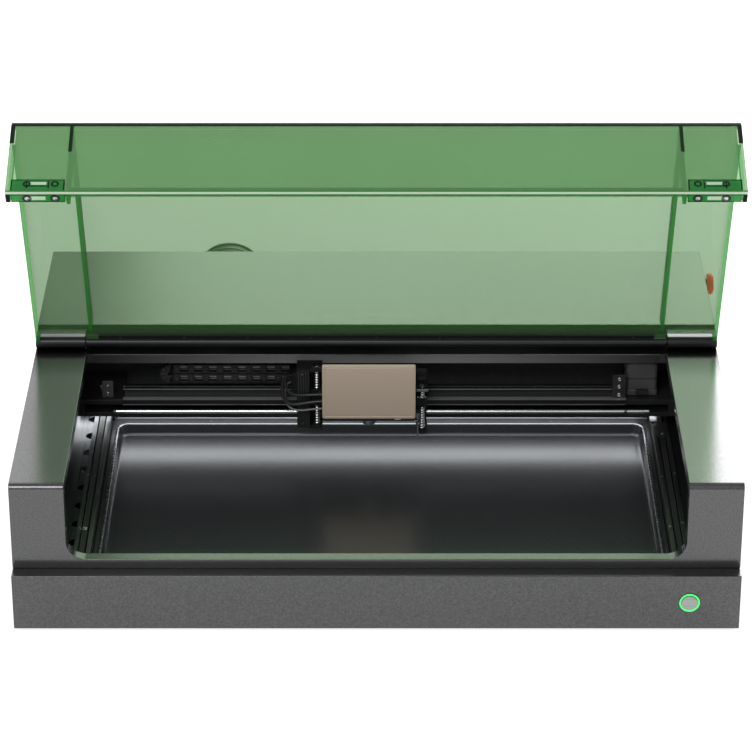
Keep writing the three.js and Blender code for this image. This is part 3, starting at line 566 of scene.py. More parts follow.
# finish, bevel in millimetres, CAD nodes
REFINED = (
    ("casing", 0.7, "base_shell"), ("casing", 0.9, "base_front_panel"), ("arm", 0.7, "upper_casing"),
    ("deck", 1.0, "rear_hood"), ("inner", 0.3, "rear_panel"), ("anodised", 0.5, "hinge_bar"),
    ("grey", 0.35, "cross_beam"), ("ledge", 0.3, "side_frame_left"),
    ("anodised", 0.3, "side_frame_right"), ("inner", 0.3, "chamber_back_wall"),
    ("zinc", 0.4, "power_supply"), ("black", 0.8, "y_motor"), ("black", 0.6, "exhaust_fan_housing"),
    ("black", 0.4, "power_inlet"), ("black", 0.5, "mains_rocker"),
    ("black", 0.6, "gantry_end_left gantry_end_right"), ("column", 0.4, "carriage_frame"),
    ("column", 0.5, "module_housing"), ("anodised", 0.3, "lid_hinge_leaf"), ("black", 0.4, "estop_base"),
    ("rubber", 0.5, "foot_front_left foot_front_right foot_rear_left foot_rear_right"),
    ("board", 0.2, "control_board"), ("silver", 0.3, "module_nozzle"),
    ("rail", 0.3, "y_rail_left y_rail_right"), ("anodised", 0.3, "gantry_beam"),
)
for key, bevel, nodes in REFINED:
    for node in nodes.split():
        skin = Piece(node + "_skin").take(node, key, node not in SLOTTED)
        skin.done(BODY_OF[node], SLOT_OF[node], (node,), bevel)


# ---------- work bed
def work_bed():
    """A pressed pan: a sunken floor inside a raised, rounded bead painted lighter as a highlight, with a
    dark border outside it.
    """
    top, floor = 38.0, 26.0
    pan = (-297.0, 307.0, -243.0, 115.5)

    def grown(u0, u1, v0, v1, out, r):
        return arc_rect(u0 - out, u1 + out, v0 - out, v1 + out, r)

    steps = [(grown(-301, 311, -248, 120, 0, 10), z) for z in (23.2, 35.0)]
    for inset, z in ((0.3, 35.0), (0, 35.4), (0, top - 0.9), (0.3, top - 0.3), (0.9, top)):
        steps.append((grown(-305.8, 316.0, -252.0, 131.0, -inset, 6), z))
    for out, z in ((4.4, 0.0), (3.6, 0.25), (2.6, 0.9), (1.6, 1.25), (0.7, 1.1), (0.0, 0.3),
                   (-0.35, -0.8), (-0.5, -2.2)):
        steps.append((grown(*pan, out, 10 + max(out, 0)), top + z))
    for inset, z in ((1.6, 4.0), (1.9, 2.6), (2.5, 1.3), (3.5, 0.45), (5.0, 0.08), (7.0, 0.0)):
        steps.append((grown(*pan, -inset, 10), floor + z))
    p = Piece("work_bed_pan").loft("z", steps, "bed")
    rim, border = p.mat("rim"), p.mat("border")
    for f in p.bm.faces:
        c = f.calc_center_median()
        outside = c.x < pan[0] - 3 or c.x > pan[1] + 3 or c.y < pan[2] - 3 or c.y > pan[3] + 3
        # the bead's small top faces get the lighter rim finish, a painted highlight
        if c.z > top + 0.4 and f.calc_area() < 4000:
            f.material_index = rim
        elif c.z > top - 1.2 and outside:
            f.material_index = border
    p.done("base", "bed_metal", ("work_bed",), smooth=50)


work_bed()


# ---------- exhaust, controls
def exhaust_collar():
    """The hose collar: a screwed flange, three grip ribs and a rolled lip."""
    c = middle("exhaust_collar", "xz")
    y0, y1 = (v.y for v in lo_hi("exhaust_collar"))
    profile = [(36.5, y0), (44.2, y0), (45, y0 + 0.8), (45, y0 + 3.2), (44.2, y0 + 4), (39.8, y0 + 4),
               (39, y0 + 4.9)]
    for k in range(3):
        a = y0 + 14 + 7.5 * k
        profile += [(39, a), (39.9, a + 0.5), (39.9, a + 1.6), (39, a + 2.4)]
    profile += [(39, y1 - 8), (40.5, y1 - 7.2), (40.5, y1 - 4.8), (39.2, y1 - 3.6), (38.2, y1 - 0.4),
                (37.6, y1), (36.9, y1 - 0.3), (36.5, y1 - 1)]
    p = Piece("exhaust_collar_moulding").lathe("y", c, profile, "black", 72, True)
    p.screws("y", circle(*c, 42.2, 8, math.radians(22.5)), y0 + 4, 1.5, 1.0)
    p.done("base", "black_parts", ("exhaust_collar",))


def power_button():
    """A dished cap, and the ring round it that glows on its front edge."""
    c = middle("power_button", "xz")
    y = lo_hi("power_button")[0].y
    profile = [(0.0, y + 0.55), (3.0, y + 0.50), (5.5, y + 0.35), (7.2, y + 0.12), (7.9, y),
               (8.3, y + 0.2), (8.5, y + 0.7), (8.5, y + 15)]
    Piece("power_button_cap").lathe("y", c, profile, "button", 56).done(
        "power_button", "silver_metal", ("power_button",))
    y0, y1 = (v.y for v in lo_hi("power_button_bezel"))
    bezel = [(8.8, y0 + 0.35), (9.3, y0 + 0.02), (10.0, y0 + 0.02), (10.4, y0 + 0.1),
             (10.8, y0 + 0.4), (10.8, y0 + 3.9), (13.8, y0 + 3.9), (13.8, y0 + 6.5),
             (10.8, y0 + 6.5), (10.8, y1), (8.8, y1)]
    p = Piece("power_button_ring")
    p.lathe("y", c, bezel, "silver", 56, True)
    m = p.mat("ring")
    for f in p.bm.faces:
        if f.calc_center_median().y < y0 + 0.3:
            f.material_index = m
    p.done("base", "silver_metal", ("power_button_bezel",))


def estop():
    """The red mushroom with three turn arrows in its face, and the stem it sits on."""
    c = middle("estop_cap", "yz")
    x0, x1 = (v.x for v in lo_hi("estop_cap"))
    profile = [(0.0, x0), (11.6, x0), (12.3, x0 + 0.5), (12.6, x0 + 1.3), (12.6, x0 + 4.2),
               (12.2, x0 + 5.4), (11.2, x0 + 6.4), (9.6, x0 + 6.95), (7.0, x0 + 7.2),
               (5.5, x0 + 6.9), (4.4, x0 + 6.55), (0.0, x0 + 6.5)]
    # the cap's red carries a painted glow
    p = Piece("estop_cap_mushroom").lathe("x", c, profile, "red", 56)
    for k in range(3):
        a = math.radians(90 + 120 * k)
        arrow = []
        for u, v in ((-2.2, 8.6), (0.9, 8.9), (0.9, 9.7), (2.4, 8.1), (0.9, 6.6), (0.9, 7.3),
                     (-2.0, 7.1)):
            arrow.append((c[0] + u * math.cos(a) - v * math.sin(a),
                          c[1] + u * math.sin(a) + v * math.cos(a)))
        p.loft("x", [(arrow, x0 + 6.5), (arrow, x1)], "zinc")
    p.done("estop_cap", "red_plastic", ("estop_cap",))
    a, b = (v.x for v in lo_hi("estop_stem"))
    p = Piece("estop_stem_rod")
    p.lathe("x", c, [(0, a), (5.6, a), (6, a + 0.4), (6, b - 0.3), (5.7, b), (0, b)], "black", 32)
    p.done("estop_stem", "black_parts", ("estop_stem",))


exhaust_collar()
power_button()
estop()


# ---------- lid
OPEN = math.radians(67.0)
PIVOT = Vector((0, 59.6, 172.5))
LID_Y0 = -280.5 - 59.6
LID_TOP = 183 - 172.5
LID_BOTTOM = LID_TOP - 99
LID_HALF = 382.0
CLOSED = Matrix.Rotation(OPEN, 4, "X") @ Matrix.Translation(-PIVOT)
OPENED = CLOSED.inverted()


def lid_edges(p, thick, fold=True):
    """A sheet's narrow faces are its sawn edges, which gather light and colour; the bend is darkest, and
    the bottom edges carry a painted highlight.
    """
    edge, dark, highlight_index, front, side = (
        p.mat(k) for k in ("edge", "fold", "painted_highlight_edge", "front_sheet", "side_sheet"))
    bmesh.ops.recalc_face_normals(p.bm, faces=p.bm.faces)
    for f in p.bm.faces:
        lengths = sorted(e.calc_length() for e in f.edges)
        if f.calc_area() / lengths[-1] < thick:
            f.material_index = edge
        c = CLOSED @ f.calc_center_median()
        n = CLOSED.to_3x3() @ f.normal
        if not fold:
            continue
        # flanges and front panel take the painted shade and painted light copies of the acrylic
        if abs(n.x) > 0.9 and f.material_index != edge:
            f.material_index = side
        if c.y < LID_Y0 + 6 and abs(n.y) > 0.9:
            f.material_index = front
        if c.y < LID_Y0 + 3.2 and c.z > LID_TOP - 3.2 and abs(n.x) < 0.5:
            f.material_index = dark
        # the bottom edges get a painted highlight
        if abs(n.z) > 0.9 and c.z < LID_BOTTOM + 1:
            f.material_index = highlight_index
    return p


def lid():
    lid_edges(Piece("lid_sheet").take("lid_shell", "sheet"), 5.6).done(
        "lid", "green_acrylic", ("lid_shell",), bevel=0.35, segments=1, smooth=25)
    for name, node, thick in (("lid_rib_left_sheet", "lid_rib_left", 4.6),
                              ("lid_rib_right_sheet", "lid_rib_right", 4.6),
                              ("lid_edge_strip_bar", "lid_edge_strip", 3.4)):
        lid_edges(Piece(name).take(node, "sheet"), thick, False).done(
            "lid", "green_acrylic", (node,), bevel=0.3, segments=1)
    # dark seams where the sheets meet: along the fold, down the flanges and down the ribs
    p = Piece("lid_seams")
    y, top, low = LID_Y0, LID_TOP, LID_BOTTOM

    def bar(half, ya, yb, za, zb, key="fold", bevel=0.0):
        p.box(-half, half, y + ya, y + yb, za, zb, key, bevel)

    bar(LID_HALF + 0.1, -0.1, 0.6, top - 5.0, top - 2.9, bevel=0.1)
    bar(LID_HALF - 0.2, 0.4, 3.0, top - 0.8, top + 0.1, bevel=0.1)
    for s in (-1, 1):
        a, b = sorted((s * (LID_HALF - 4.6), s * (LID_HALF + 0.1)))
        p.box(a, b, y - 0.1, y + 0.2, top - 30, top - 5, "fold")
        p.box(a, b, y + 5.2, y + 16.0, low - 0.1, low + 0.5, "fold")
        a, b = sorted((s * 316.4, s * 320.2))
        p.box(a, b, y - 0.06, y + 0.2, top - 42, top - 5, "fold")
    bar(LID_HALF - 0.3, 4.2, 5.2, low - 0.12, low + 0.7)
    bar(LID_HALF - 0.3, -0.1, 0.5, low - 0.1, low + 1.4, "edge")
    bar(315.3, 5.2, 8.4, low + 9.4, low + 10.6, bevel=0.2)
    bar(LID_HALF - 1, 2.2, 2.5, top - 7.6, top - 1.4, "front_sheet")
    p.turn(OPENED)
    p.done("lid", "green_acrylic")
    magnet_block(-1, "lid_magnet_block_left")
    magnet_block(1, "lid_magnet_block_right")


def magnet_block(side, node):
    """A moulded clear-green holder with two magnets, their screws and a raised middle."""
    x0, x1 = sorted((side * 321.0, side * (LID_HALF - 5.3)))
    y0 = LID_Y0 + 5.3
    z0 = LID_BOTTOM + 0.3
    p = Piece(node + "_holder")
    mid = (x0 + x1) / 2
    # inset in x, front and back in y, corner radius, height: the block, then the raised middle
    for steps in (((0.6, 0.2, 9.9, 2.6, 0), (0, 0, 10.5, 3, 0.6), (0, 0, 10.5, 3, 8.6),
                   (1.2, 0, 9.4, 3, 9.4)),
                  ((2, 0.1, 5.4, 2, 9.4), (2, 0.1, 5.4, 2, 15.2), (3, 0.1, 4.4, 2, 16.2))):
        p.loft("z", [(arc_rect(x0 + inset, x1 - inset, y0 + ya, y0 + yb, r), z0 + z)
                     for inset, ya, yb, r, z in steps], "block")
    # the pad bonded over it, the dark outlines, a painted highlight slot and the two magnet wells
    out = LID_Y0 - 0.12
    p.box(x0, x1, out, out + 0.1, z0 + 1.6, z0 + 16.4, "pad", 0.02, 1)
    p.box(mid - 9, mid + 9, out - 0.08, out + 0.05, z0 + 9.2, z0 + 13.0, "painted_highlight_edge", 0.02, 1)
    for a, b, c, d in ((x0, x1, 15.4, 16.6), (x0, x0 + 1.4, 1.6, 16.2), (x1 - 1.4, x1, 1.6, 16.2),
                       (mid - 12, mid - 10.6, 4, 14), (mid + 10.6, mid + 12, 4, 14),
                       (mid - 12, mid + 12, 6.8, 8.0)):
        p.box(a, b, out - 0.1, out + 0.08, z0 + c, z0 + d, "fold", 0.02, 1)
    for x in (331, 360):
        p.lathe("y", (side * x, z0 + 10.4), [(2.2, out - 0.1), (4.2, out - 0.1), (4.2, out + 0.05),
                                             (2.2, out + 0.05)], "fold", 28, True)
    for a, b, c, d in ((x0, x1, 15.6, 16.6), (x0, x0 + 1.1, 0, 16.2), (x1 - 1.1, x1, 0, 16.2)):
        p.box(a, b, y0 - 0.05, y0 + 0.3, z0 + c, z0 + d, "fold")
        p.box(a, b, y0 + 10.3, y0 + 10.6, z0 + min(c, 8.0), z0 + min(d, 8.9), "fold")
    # pale painted highlights on the block's front and underside
    p.box(mid - 10, mid + 10, y0 - 0.05, y0 + 0.4, z0 + 10.4, z0 + 13.4, "painted_highlight_edge", 0.15)
    p.box(mid - 8, mid + 8, y0 + 2.4, y0 + 7.6, z0 - 0.12, z0 + 0.3, "painted_highlight_edge", 0.1)
    p.box(x0 + 0.4, x1 - 0.4, y0 + 9.7, y0 + 10.6, z0 - 0.12, z0 + 0.5, "fold")
    for x in (331, 360):
        c = (side * x, y0 + 5.3)
        p.lathe("z", c, [(3.7, z0 - 0.14), (4.9, z0 - 0.14), (5.1, z0 + 0.1), (4.9, z0 + 0.6),
                         (3.7, z0 + 0.6)], "fold", 28, True)
        p.lathe("z", c, [(0, z0 - 0.1), (3.4, z0 - 0.1), (3.5, z0), (3.5, z0 + 3.9), (0, z0 + 3.9)],
                "bolt", 24)
        p.screws("z", [c], z0 - 0.1, 2.2, 0.35, "screw", -1)
        for k in (-1, 1):
            p.box(c[0] + k * 4.6 - 0.7, c[0] + k * 4.6 + 0.7, y0 - 0.06, y0 + 0.3, z0 + 9.8,
                  z0 + 15.0, "fold")
    p.turn(OPENED)
    p.done("lid", "green_acrylic", (node,), smooth=40)


lid()


def hinge_details():
    """Pads, screws and pin ends on the hinge bar, the leaf's screws and two small tabs."""
    p = Piece("hinge_hardware")
    for x in (-306, -180, -60, 60, 180, 306):
        p.box(x - 9, x + 9, 77.2, 82.2, 174.0, 174.9, "anodised", 0.3)
    for side in (-1, 1):
        p.screws("z", [(side * 342, 74), (side * 368, 74)], 179.5, 2.2, 0.5)
        p.lathe("x", (PIVOT.y, PIVOT.z),
                [(0, side * 378), (3.0, side * 378), (3.4, side * 378.5), (3.4, side * 381.6),
                 (2.8, side * 382.3), (0, side * 382.3)], "steel", 28)
    p.done("base", "black_metal", smooth=40)
    p = Piece("lid_leaf_screws")
    p.screws("z", [(-288 + 72 * k, -5.2) for k in range(9)], 1.55, 1.9, 0.7, "bolt", -1)
    p.turn(OPENED)
    p.done("lid", "black_metal", smooth=40)
    # the two small tabs carry a painted highlight from the lit strip material
    p = Piece("hinge_tabs")
    for x0, x1 in ((5.7, 22.1), (-325.0, -310.9)):
        p.box(x0, x1, 73.2, 75.8, 160.6, 163.4, "lit", 0.4)
    p.done("base", "black_metal")


hinge_details()


# ---------- belts, shafts and pulleys
def toothed_belt(name, node, body, axis, c0, c1, r, thick, w0, w1, pitch=3.0):
    """A closed belt round two pulleys, with square teeth on its inner side."""
    length = math.dist(c0, c1)
    around = 2 * length + 2 * math.pi * r
    count = int(around / pitch)
    u = Vector(((c1[0] - c0[0]) / length, (c1[1] - c0[1]) / length))
    nrm = Vector((-u.y, u.x))

    def at(s, d):
        """The point s along the loop, d outside the pulleys' pitch line."""
        second, s = divmod(s % around, around / 2)
        start, end, way = (c1, c0, -1) if second else (c0, c1, 1)
        if s < length:
            return Vector(start) + way * (u * s - nrm * (r + d))
        a = (s - length) / r
        return Vector(end) + way * (math.sin(a) * u - math.cos(a) * nrm) * (r + d)

    p = Piece(name)
    inner, outer = [], []
    for i in range(count):
        for f, d in ((0.0, 0.25), (0.45, 0.25), (0.5, 0.02), (0.95, 0.02)):
            s = around * (i + f) / count
            inner.append(tuple(at(s, d)))
            outer.append(tuple(at(s, thick)))
    rows = []
    for line, w in ((inner, w0), (outer, w0), (outer, w1), (inner, w1)):
        rows.append([p.vert(axis, a, b, w) for a, b in line])
    p.join(rows, "belt", True)
    p.done(body, "rubber", (node,), smooth=30)


def toothed_wheel(p, axis, c, r, a, b, bore=0.0, flange=0.9):
    """A timing pulley: twenty teeth between two flanges, with a hole where bore is given."""
    teeth = []
    for i in range(20):
        for f, d in ((0.0, 0.0), (0.45, 0.0), (0.55, -0.5), (0.9, -0.5)):
            t = 2 * math.pi * (i + f) / 20
            teeth.append((c[0] + (r + d) * math.cos(t), c[1] + (r + d) * math.sin(t)))
    n = len(teeth)
    disc = circle(*c, r, n)
    loops = [(disc, a), (disc, a + flange), (teeth, a + flange),
             (teeth, b - flange), (disc, b - flange), (disc, b)]
    if bore:
        hole = circle(*c, bore, n)
        loops = [(hole, a)] + loops + [(hole, b)]
    p.loft(axis, loops, "silver", bool(bore))


RAILS = {"left": (-325.0, -306.3), "right": (316.5, 335.2)}
Y_SHAFT = (138, 45)
Y_IDLER = (-240, 45)
X_DRIVE = (303.3, 108)
X_IDLER = (-316, 108)
for side, (x0, x1) in RAILS.items():
    mid = (x0 + x1) / 2
    toothed_belt(f"y_belt_{side}_toothed", f"y_belt_{side}", "base", "x", Y_IDLER, Y_SHAFT,
                 5.8, 1.2, mid - 3, mid + 3)
    wheel = Piece(f"y_idler_{side}_wheel")
    toothed_wheel(wheel, "x", Y_IDLER, 5.5, mid - 3.5, mid + 3.5, bore=2.3, flange=0.5)
    wheel.done(f"y_return_pulley_{side}", "silver_metal", (f"y_idler_{side}",), smooth=25)
toothed_belt("x_belt_toothed", "x_belt", "gantry", "z", X_IDLER, X_DRIVE, 7.0, 1.2, 75, 81)


def y_shaft():
    p = Piece("y_shaft_rod")
    p.rod("x", Y_SHAFT, 3.0, -322, 335.7, "steel", 32, 0.4)
    for x0, x1 in RAILS.values():
        mid = (x0 + x1) / 2
        toothed_wheel(p, "x", Y_SHAFT, 5.5, mid - 3.5, mid + 3.5, flange=0.5)
    for x in (-296, 305, 323):
        p.rod("x", Y_SHAFT, 4.6, x, x + 3.4, "bolt", 28, 0.4)
    p.done("y_drive_shaft", "steel", ("y_shaft",), smooth=30)


def x_pulleys():
    for end, body, c, r, top, chamfer in (("motor", "x_drive_pulley", X_DRIVE, 2.5, 89.2, 0.2),
                                          ("idler", "x_return_pulley", X_IDLER, 2.7, 90.5, 0.4)):
        p = Piece(f"x_{end}_pulley_wheel")
        toothed_wheel(p, "z", c, 6.7, 74, 82)
        p.rod("z", c, r, 82, top, "steel", 24, chamfer)
        p.done(body, "silver_metal", (f"x_{end}_pulley",), smooth=25)


def x_motor():
    """A stepper motor: end bells over a laminated stack, its screws and its plug."""
    c = X_DRIVE

    def square(h, r):
        return arc_rect(c[0] - h, c[0] + h, c[1] - h, c[1] + h, r, 5)

    p = Piece("x_motor_body")
    p.loft("z", [(square(17.4, 3), 89.6), (square(18.2, 3), 90.2), (square(18.2, 3), 95.6),
                 (square(17.9, 3.4), 96.0)], "motor")
    steps = []
    for k in range(10):
        z = 96.0 + 1.42 * k
        steps += [(square(17.2, 4), z), (square(17.6, 4), z + 0.3), (square(17.6, 4), z + 1.1)]
    p.loft("z", steps, "motor")
    p.loft("z", [(square(16.9, 5), 110.2), (square(17.9, 5), 111.0), (square(17.9, 5), 128.6),
                 (square(16.6, 5), 130.0)], "motor")
    p.screws("z", [(c[0] + sx * 13, c[1] + sy * 13) for sx in (-1, 1) for sy in (-1, 1)], 129.9, 2.2, 0.9)
    plug = arc_rect(c[0] - 7, c[0] + 7, 92, 98, 0.6, 2)
    p.loft("y", [(plug, 86.4), (plug, 91.5)], "rubber")
    p.done("gantry", "black_metal", ("x_motor",), smooth=35)


y_shaft()
x_pulleys()
x_motor()


def gantry_details():
    """Brackets at both ends of the beam, their screws, the guide rod and thin lips painted light as
    highlights.
    """
    p = Piece("gantry_brackets")
    for x0, x1, top, key in ((-313.0, -300.4, 110.4, "motor"), (269.4, 284.8, 118.2, "link")):
        p.box(x0, x1, 84, 87, 89.4, top, key, 0.6)
        p.box(x0, x1, 84, 98, 89.3, 91.2, key, 0.6)
    p.screws("y", [(-306.7, z) for z in (94.6, 104.4)], 84, 2.0, 1.0, "screw", -1)
    p.screws("y", [(277.2, z) for z in (93.4, 103.4, 113.0)], 84, 2.3, 1.1, "screw", -1)
    p.screws("z", [X_IDLER], 90.5, 3.6, 1.4, "screw")
    p.screws("z", [(-335, 90), (-335, 140), (-310.9, 122), (335, 140), (324, 140)], 89.3, 2.2, 1.2)
    p.done("gantry", "black_metal", smooth=40)
    p = Piece("gantry_rail_screws")
    p.screws("z", [(-270 + 41 * k, 91.5) for k in range(14)], 98.7, 1.7, 0.25)
    p.done("gantry", "steel", smooth=40)
    p = Piece("gantry_guide_rod")
    guide_rod = (80.2, 73.8)
    p.rod("x", guide_rod, 3.1, -301, 312, "steel", 32, 0.4)
    for x in (-300.5, 283.5):
        p.rod("x", guide_rod, 3.6, x, x + 3, "bolt", 28, 0.3)
    p.done("gantry", "steel", smooth=40)
    p = Piece("gantry_highlight_lips")
    # thin strips along the beam's edges painted light: painted highlights
    for y0, y1, z0, z1, key in ((78.7, 86.6, 89.2, 89.55, "lip"), (78.6, 79.6, 82.9, 83.7, "zinc"),
                                (87.9, 88.5, 97.9, 98.8, "lip"), (94.5, 95.1, 97.9, 98.8, "lip")):
        p.box(-289.8, 284.8, y0, y1, z0, z1, key, 0.12)
    p.done("gantry", "black_metal")


def chamber_details():
    """Rail clips, corner plates, the strip along the cross beam and the screws of the back wall."""
    p = Piece("rail_clips")
    for y in (-31.3, -152.1):
        p.box(-322.5, -313.7, y - 3.2, y + 3.2, 51.9, 52.12, "screw", 0.08)
        p.screws("z", [(-318.1, y)], 52.1, 2.0, 0.12)
        p.screws("z", [(-308.3, y - 3.7)], 52.0, 1.3, 0.2)
    for y in (-35.0, -146.8):
        p.screws("z", [(318.6, y)], 52.0, 1.4, 0.2, "screw")
        p.screws("z", [(333.0, y + 8)], 52.0, 1.8, 0.2, "screw")
    p.done("base", "steel", smooth=40)
    p = Piece("corner_plates")
    # a light strip along the bed's far edge: a painted highlight
    p.box(-304.4, 315.0, 131.6, 133.4, 36.8, 38.4, "lip", 0.3)
    p.box(315.0, 328.4, 94.5, 124.6, 52.3, 53.1, "plate", 0.3)
    p.box(-324.6, -307.0, 112, 128.5, 52.3, 53.1, "inner", 0.3)
    p.box(318.5, 333.5, 60.5, 93.5, 49.0, 52.6, "inner", 0.5)
    p.screws("z", [(327.0, 66.5)], 52.6, 2.0, 1.0, "screw")
    p.screws("z", [(321.5, 110), (-318, 114)], 53.1, 1.8, 0.8, "screw")
    p.done("base", "rail_metal", smooth=40)
    # the strip along the cross beam carries a painted highlight, with a painted highlight line along its
    # top edge
    p = Piece("chamber_strip_painted_highlight")
    p.box(-322, 322, 85.1, 85.9, 133.2, 143.4, "lit", 0.25)
    p.box(-322, 322, 84.6, 85.4, 143.6, 144.4, "zinc", 0.2)
    p.done("base", "black_metal", smooth=40)
    p = Piece("wall_rim_screws")
    p.screws("y", [(x, 158) for x in (-330, -110, 110, 322)], 151.9, 2.4, 1.2, "bolt", -1)
    for x in (-192, 201.5):
        p.lathe("z", (x, 125.2), [(0, 37.9), (2.1, 37.9), (2.1, 38.2), (1.5, 38.5), (0, 38.5)],
                "bolt", 20)
    p.done("base", "steel", smooth=40)


gantry_details()
chamber_details()


# ---------- cable chain
CHAIN = {"y0": 103.0, "y1": 118.0, "left": -236.0, "right": -100.0}


def chain_run(name, node, z0, z1):
    """Link plates on both sides, thin webs above and below, and the cables they carry."""
    p = Piece(name)
    y0, y1 = CHAIN["y0"], CHAIN["y1"]
    x0, x1 = CHAIN["left"] + 3.0, CHAIN["right"]
    count = 8
    step = (x1 - x0) / count
    for i in range(count):
        a = x0 + step * i
        for ya, yb in ((y0, y0 + 2.2), (y1 - 2.2, y1)):
            p.box(a + 0.2, a + 8.2, ya, yb, z0, z1, "black", 0.7)
            for low in (z0 + 0.2, z1 - 1.7):
                p.box(a + 7.8, a + step + 0.2, ya + 0.5, yb - 0.3, low, low + 1.5, "link", 0.3)
        p.rod("y", (a + 4.2, (z0 + z1) / 2), 2.0, y0 - 0.4, y0 + 1.0, "link", 18, 0.3)
        for w0, w1 in ((z0 + 0.1, z0 + 1.2), (z1 - 1.2, z1 - 0.1)):
            p.box(a + 1.2, a + 6.6, y0 + 2.0, y1 - 2.0, w0, w1, "link", 0.2)
    line = [x0 + (x1 - x0) * k / 24 for k in range(25)]
    for y, z, r, key in ((y0 + 4.8, z0 + 3.4, 1.35, "cable"), (y0 + 4.2, z0 + 6.9, 1.5, "grey_cable"),
                         (y0 + 9.2, z0 + 5.2, 2.1, "cable")):
        p.tube([(x, y, z + 0.25 * math.sin(x * 0.05)) for x in line], r, key, 12)
    return p.done(None, "black_parts", (node,))


def chain():
    """Both runs stretch between the gantry and the carriage; a bend of curved links joins them."""
    upper = chain_run("cable_chain_upper_links", "cable_chain_upper", 110.6, 121.5)
    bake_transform(upper)
    lower = chain_run("cable_chain_lower_links", "cable_chain_lower", 98.5, 109.4)
    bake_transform(lower)
    p = Piece("cable_chain_bend_links")
    c = (CHAIN["left"], 110.0)
    for ya, yb in ((103.0, 105.2), (115.8, 118.0)):
        for k in range(5):
            a0, a1 = 92 + 35 * k, 92 + 35 * (k + 1) - 4
            ts = [math.radians(a0 + (a1 - a0) * s / 6) for s in range(7)]
            loop = [(c[0] + 11.4 * math.cos(q), c[1] + 11.4 * math.sin(q)) for q in ts]
            loop += [(c[0] + 2.8 * math.cos(q), c[1] + 2.8 * math.sin(q)) for q in reversed(ts)]
            p.loft("y", [(loop, ya), (loop, yb)], "link")
    for r, y, key in ((6.6, 107.6, "cable"), (7.2, 112.4, "grey_cable")):
        p.tube([(c[0] - r * math.sin(q), y, c[1] + r * math.cos(q))
                for q in (math.pi * k / 20 for k in range(21))], 1.5, key, 12)
    for k in range(9):
        q = math.radians(100 + 20 * k)
        p.tube([(c[0] + 10.2 * math.cos(q), y, c[1] + 10.2 * math.sin(q)) for y in (105, 116)], 0.8,
               "link", 8)
    p.done("chain_bend", "black_parts", ("cable_chain_bend",))


chain()


# ---------- carriage and laser module
def threaded(name, node, body, x, z0, z1, pitch=3.2):
    """A screw with a real helical ridge, and plain turned ends."""
    p = Piece(name)
    n = 20
    lo, hi = z0 + 3, z1 - 3
    per = pitch / 6
    count = int((hi - lo) / per)
    rings = []
    for i in range(count + 1):
        z = lo + per * i
        ring = []
        for k in range(n):
            t = 2 * math.pi * k / n
            s = (z / pitch - k / n) % 1.0
            r = 3.0 + 0.95 * min(1.0, 2.4 * min(s, 1 - s))
            ring.append(p.vert("z", x + r * math.cos(t), 60 + r * math.sin(t), z))
        rings.append(ring)
    p.join(rings, "screw")
    p.rod("z", (x, 60), 3.0, z0, lo + 0.5, "screw", 20, 0.3)
    p.rod("z", (x, 60), 3.0, hi - 0.5, z1, "screw", 20, 0.3)
    p.done(body, "steel", (node,), smooth=50)


threaded("lead_screw_left_thread", "lead_screw_left", "screw_left", -67.5, 66.5, 143)
threaded("lead_screw_right_thread", "lead_screw_right", "screw_right", 51.5, 60.5, 118)


def carriage_details():
    """Ribs on the left column, the limit bars on the right, bearing rings and screws."""
    p = Piece("carriage_trim")
    for k in range(5):
        x = -88.4 + 2.7 * k
        p.box(x, x + 1.3, 48.9, 50.2, 70.5, 140.5, "link", 0.3)
    for x, z in ((-67.5, 141.7), (51.5, 117), (51.5, 64)):
        p.lathe("z", (x, 60), [(4.4, z), (5.8, z), (6.2, z + 0.3), (6.2, z + 1.2), (5.8, z + 1.5),
                               (4.4, z + 1.5)], "bolt", 28, True)
    p.box(45.4, 58.6, 50.8, 53.0, 114.4, 117.0, "silver", 0.3)
    for k in range(4):
        p.box(46.0 + 2.9 * k, 47.8 + 2.9 * k, 51.4, 53.4, 105.6, 107.8, "silver", 0.25)
    p.screws("y", [(50.5, z) for z in (66, 82, 98)], 68.6, 1.7, 0.8, "bolt", -1)
    p.screws("y", [(-84, 74), (-84, 136)], 48.9, 2.0, 0.9, "bolt", -1)
    p.screws("z", [(-48 + 22 * k, 80) for k in range(4)], 108.0, 2.0, 1.2, "screw")
    p.done("carriage", "black_metal", smooth=40)


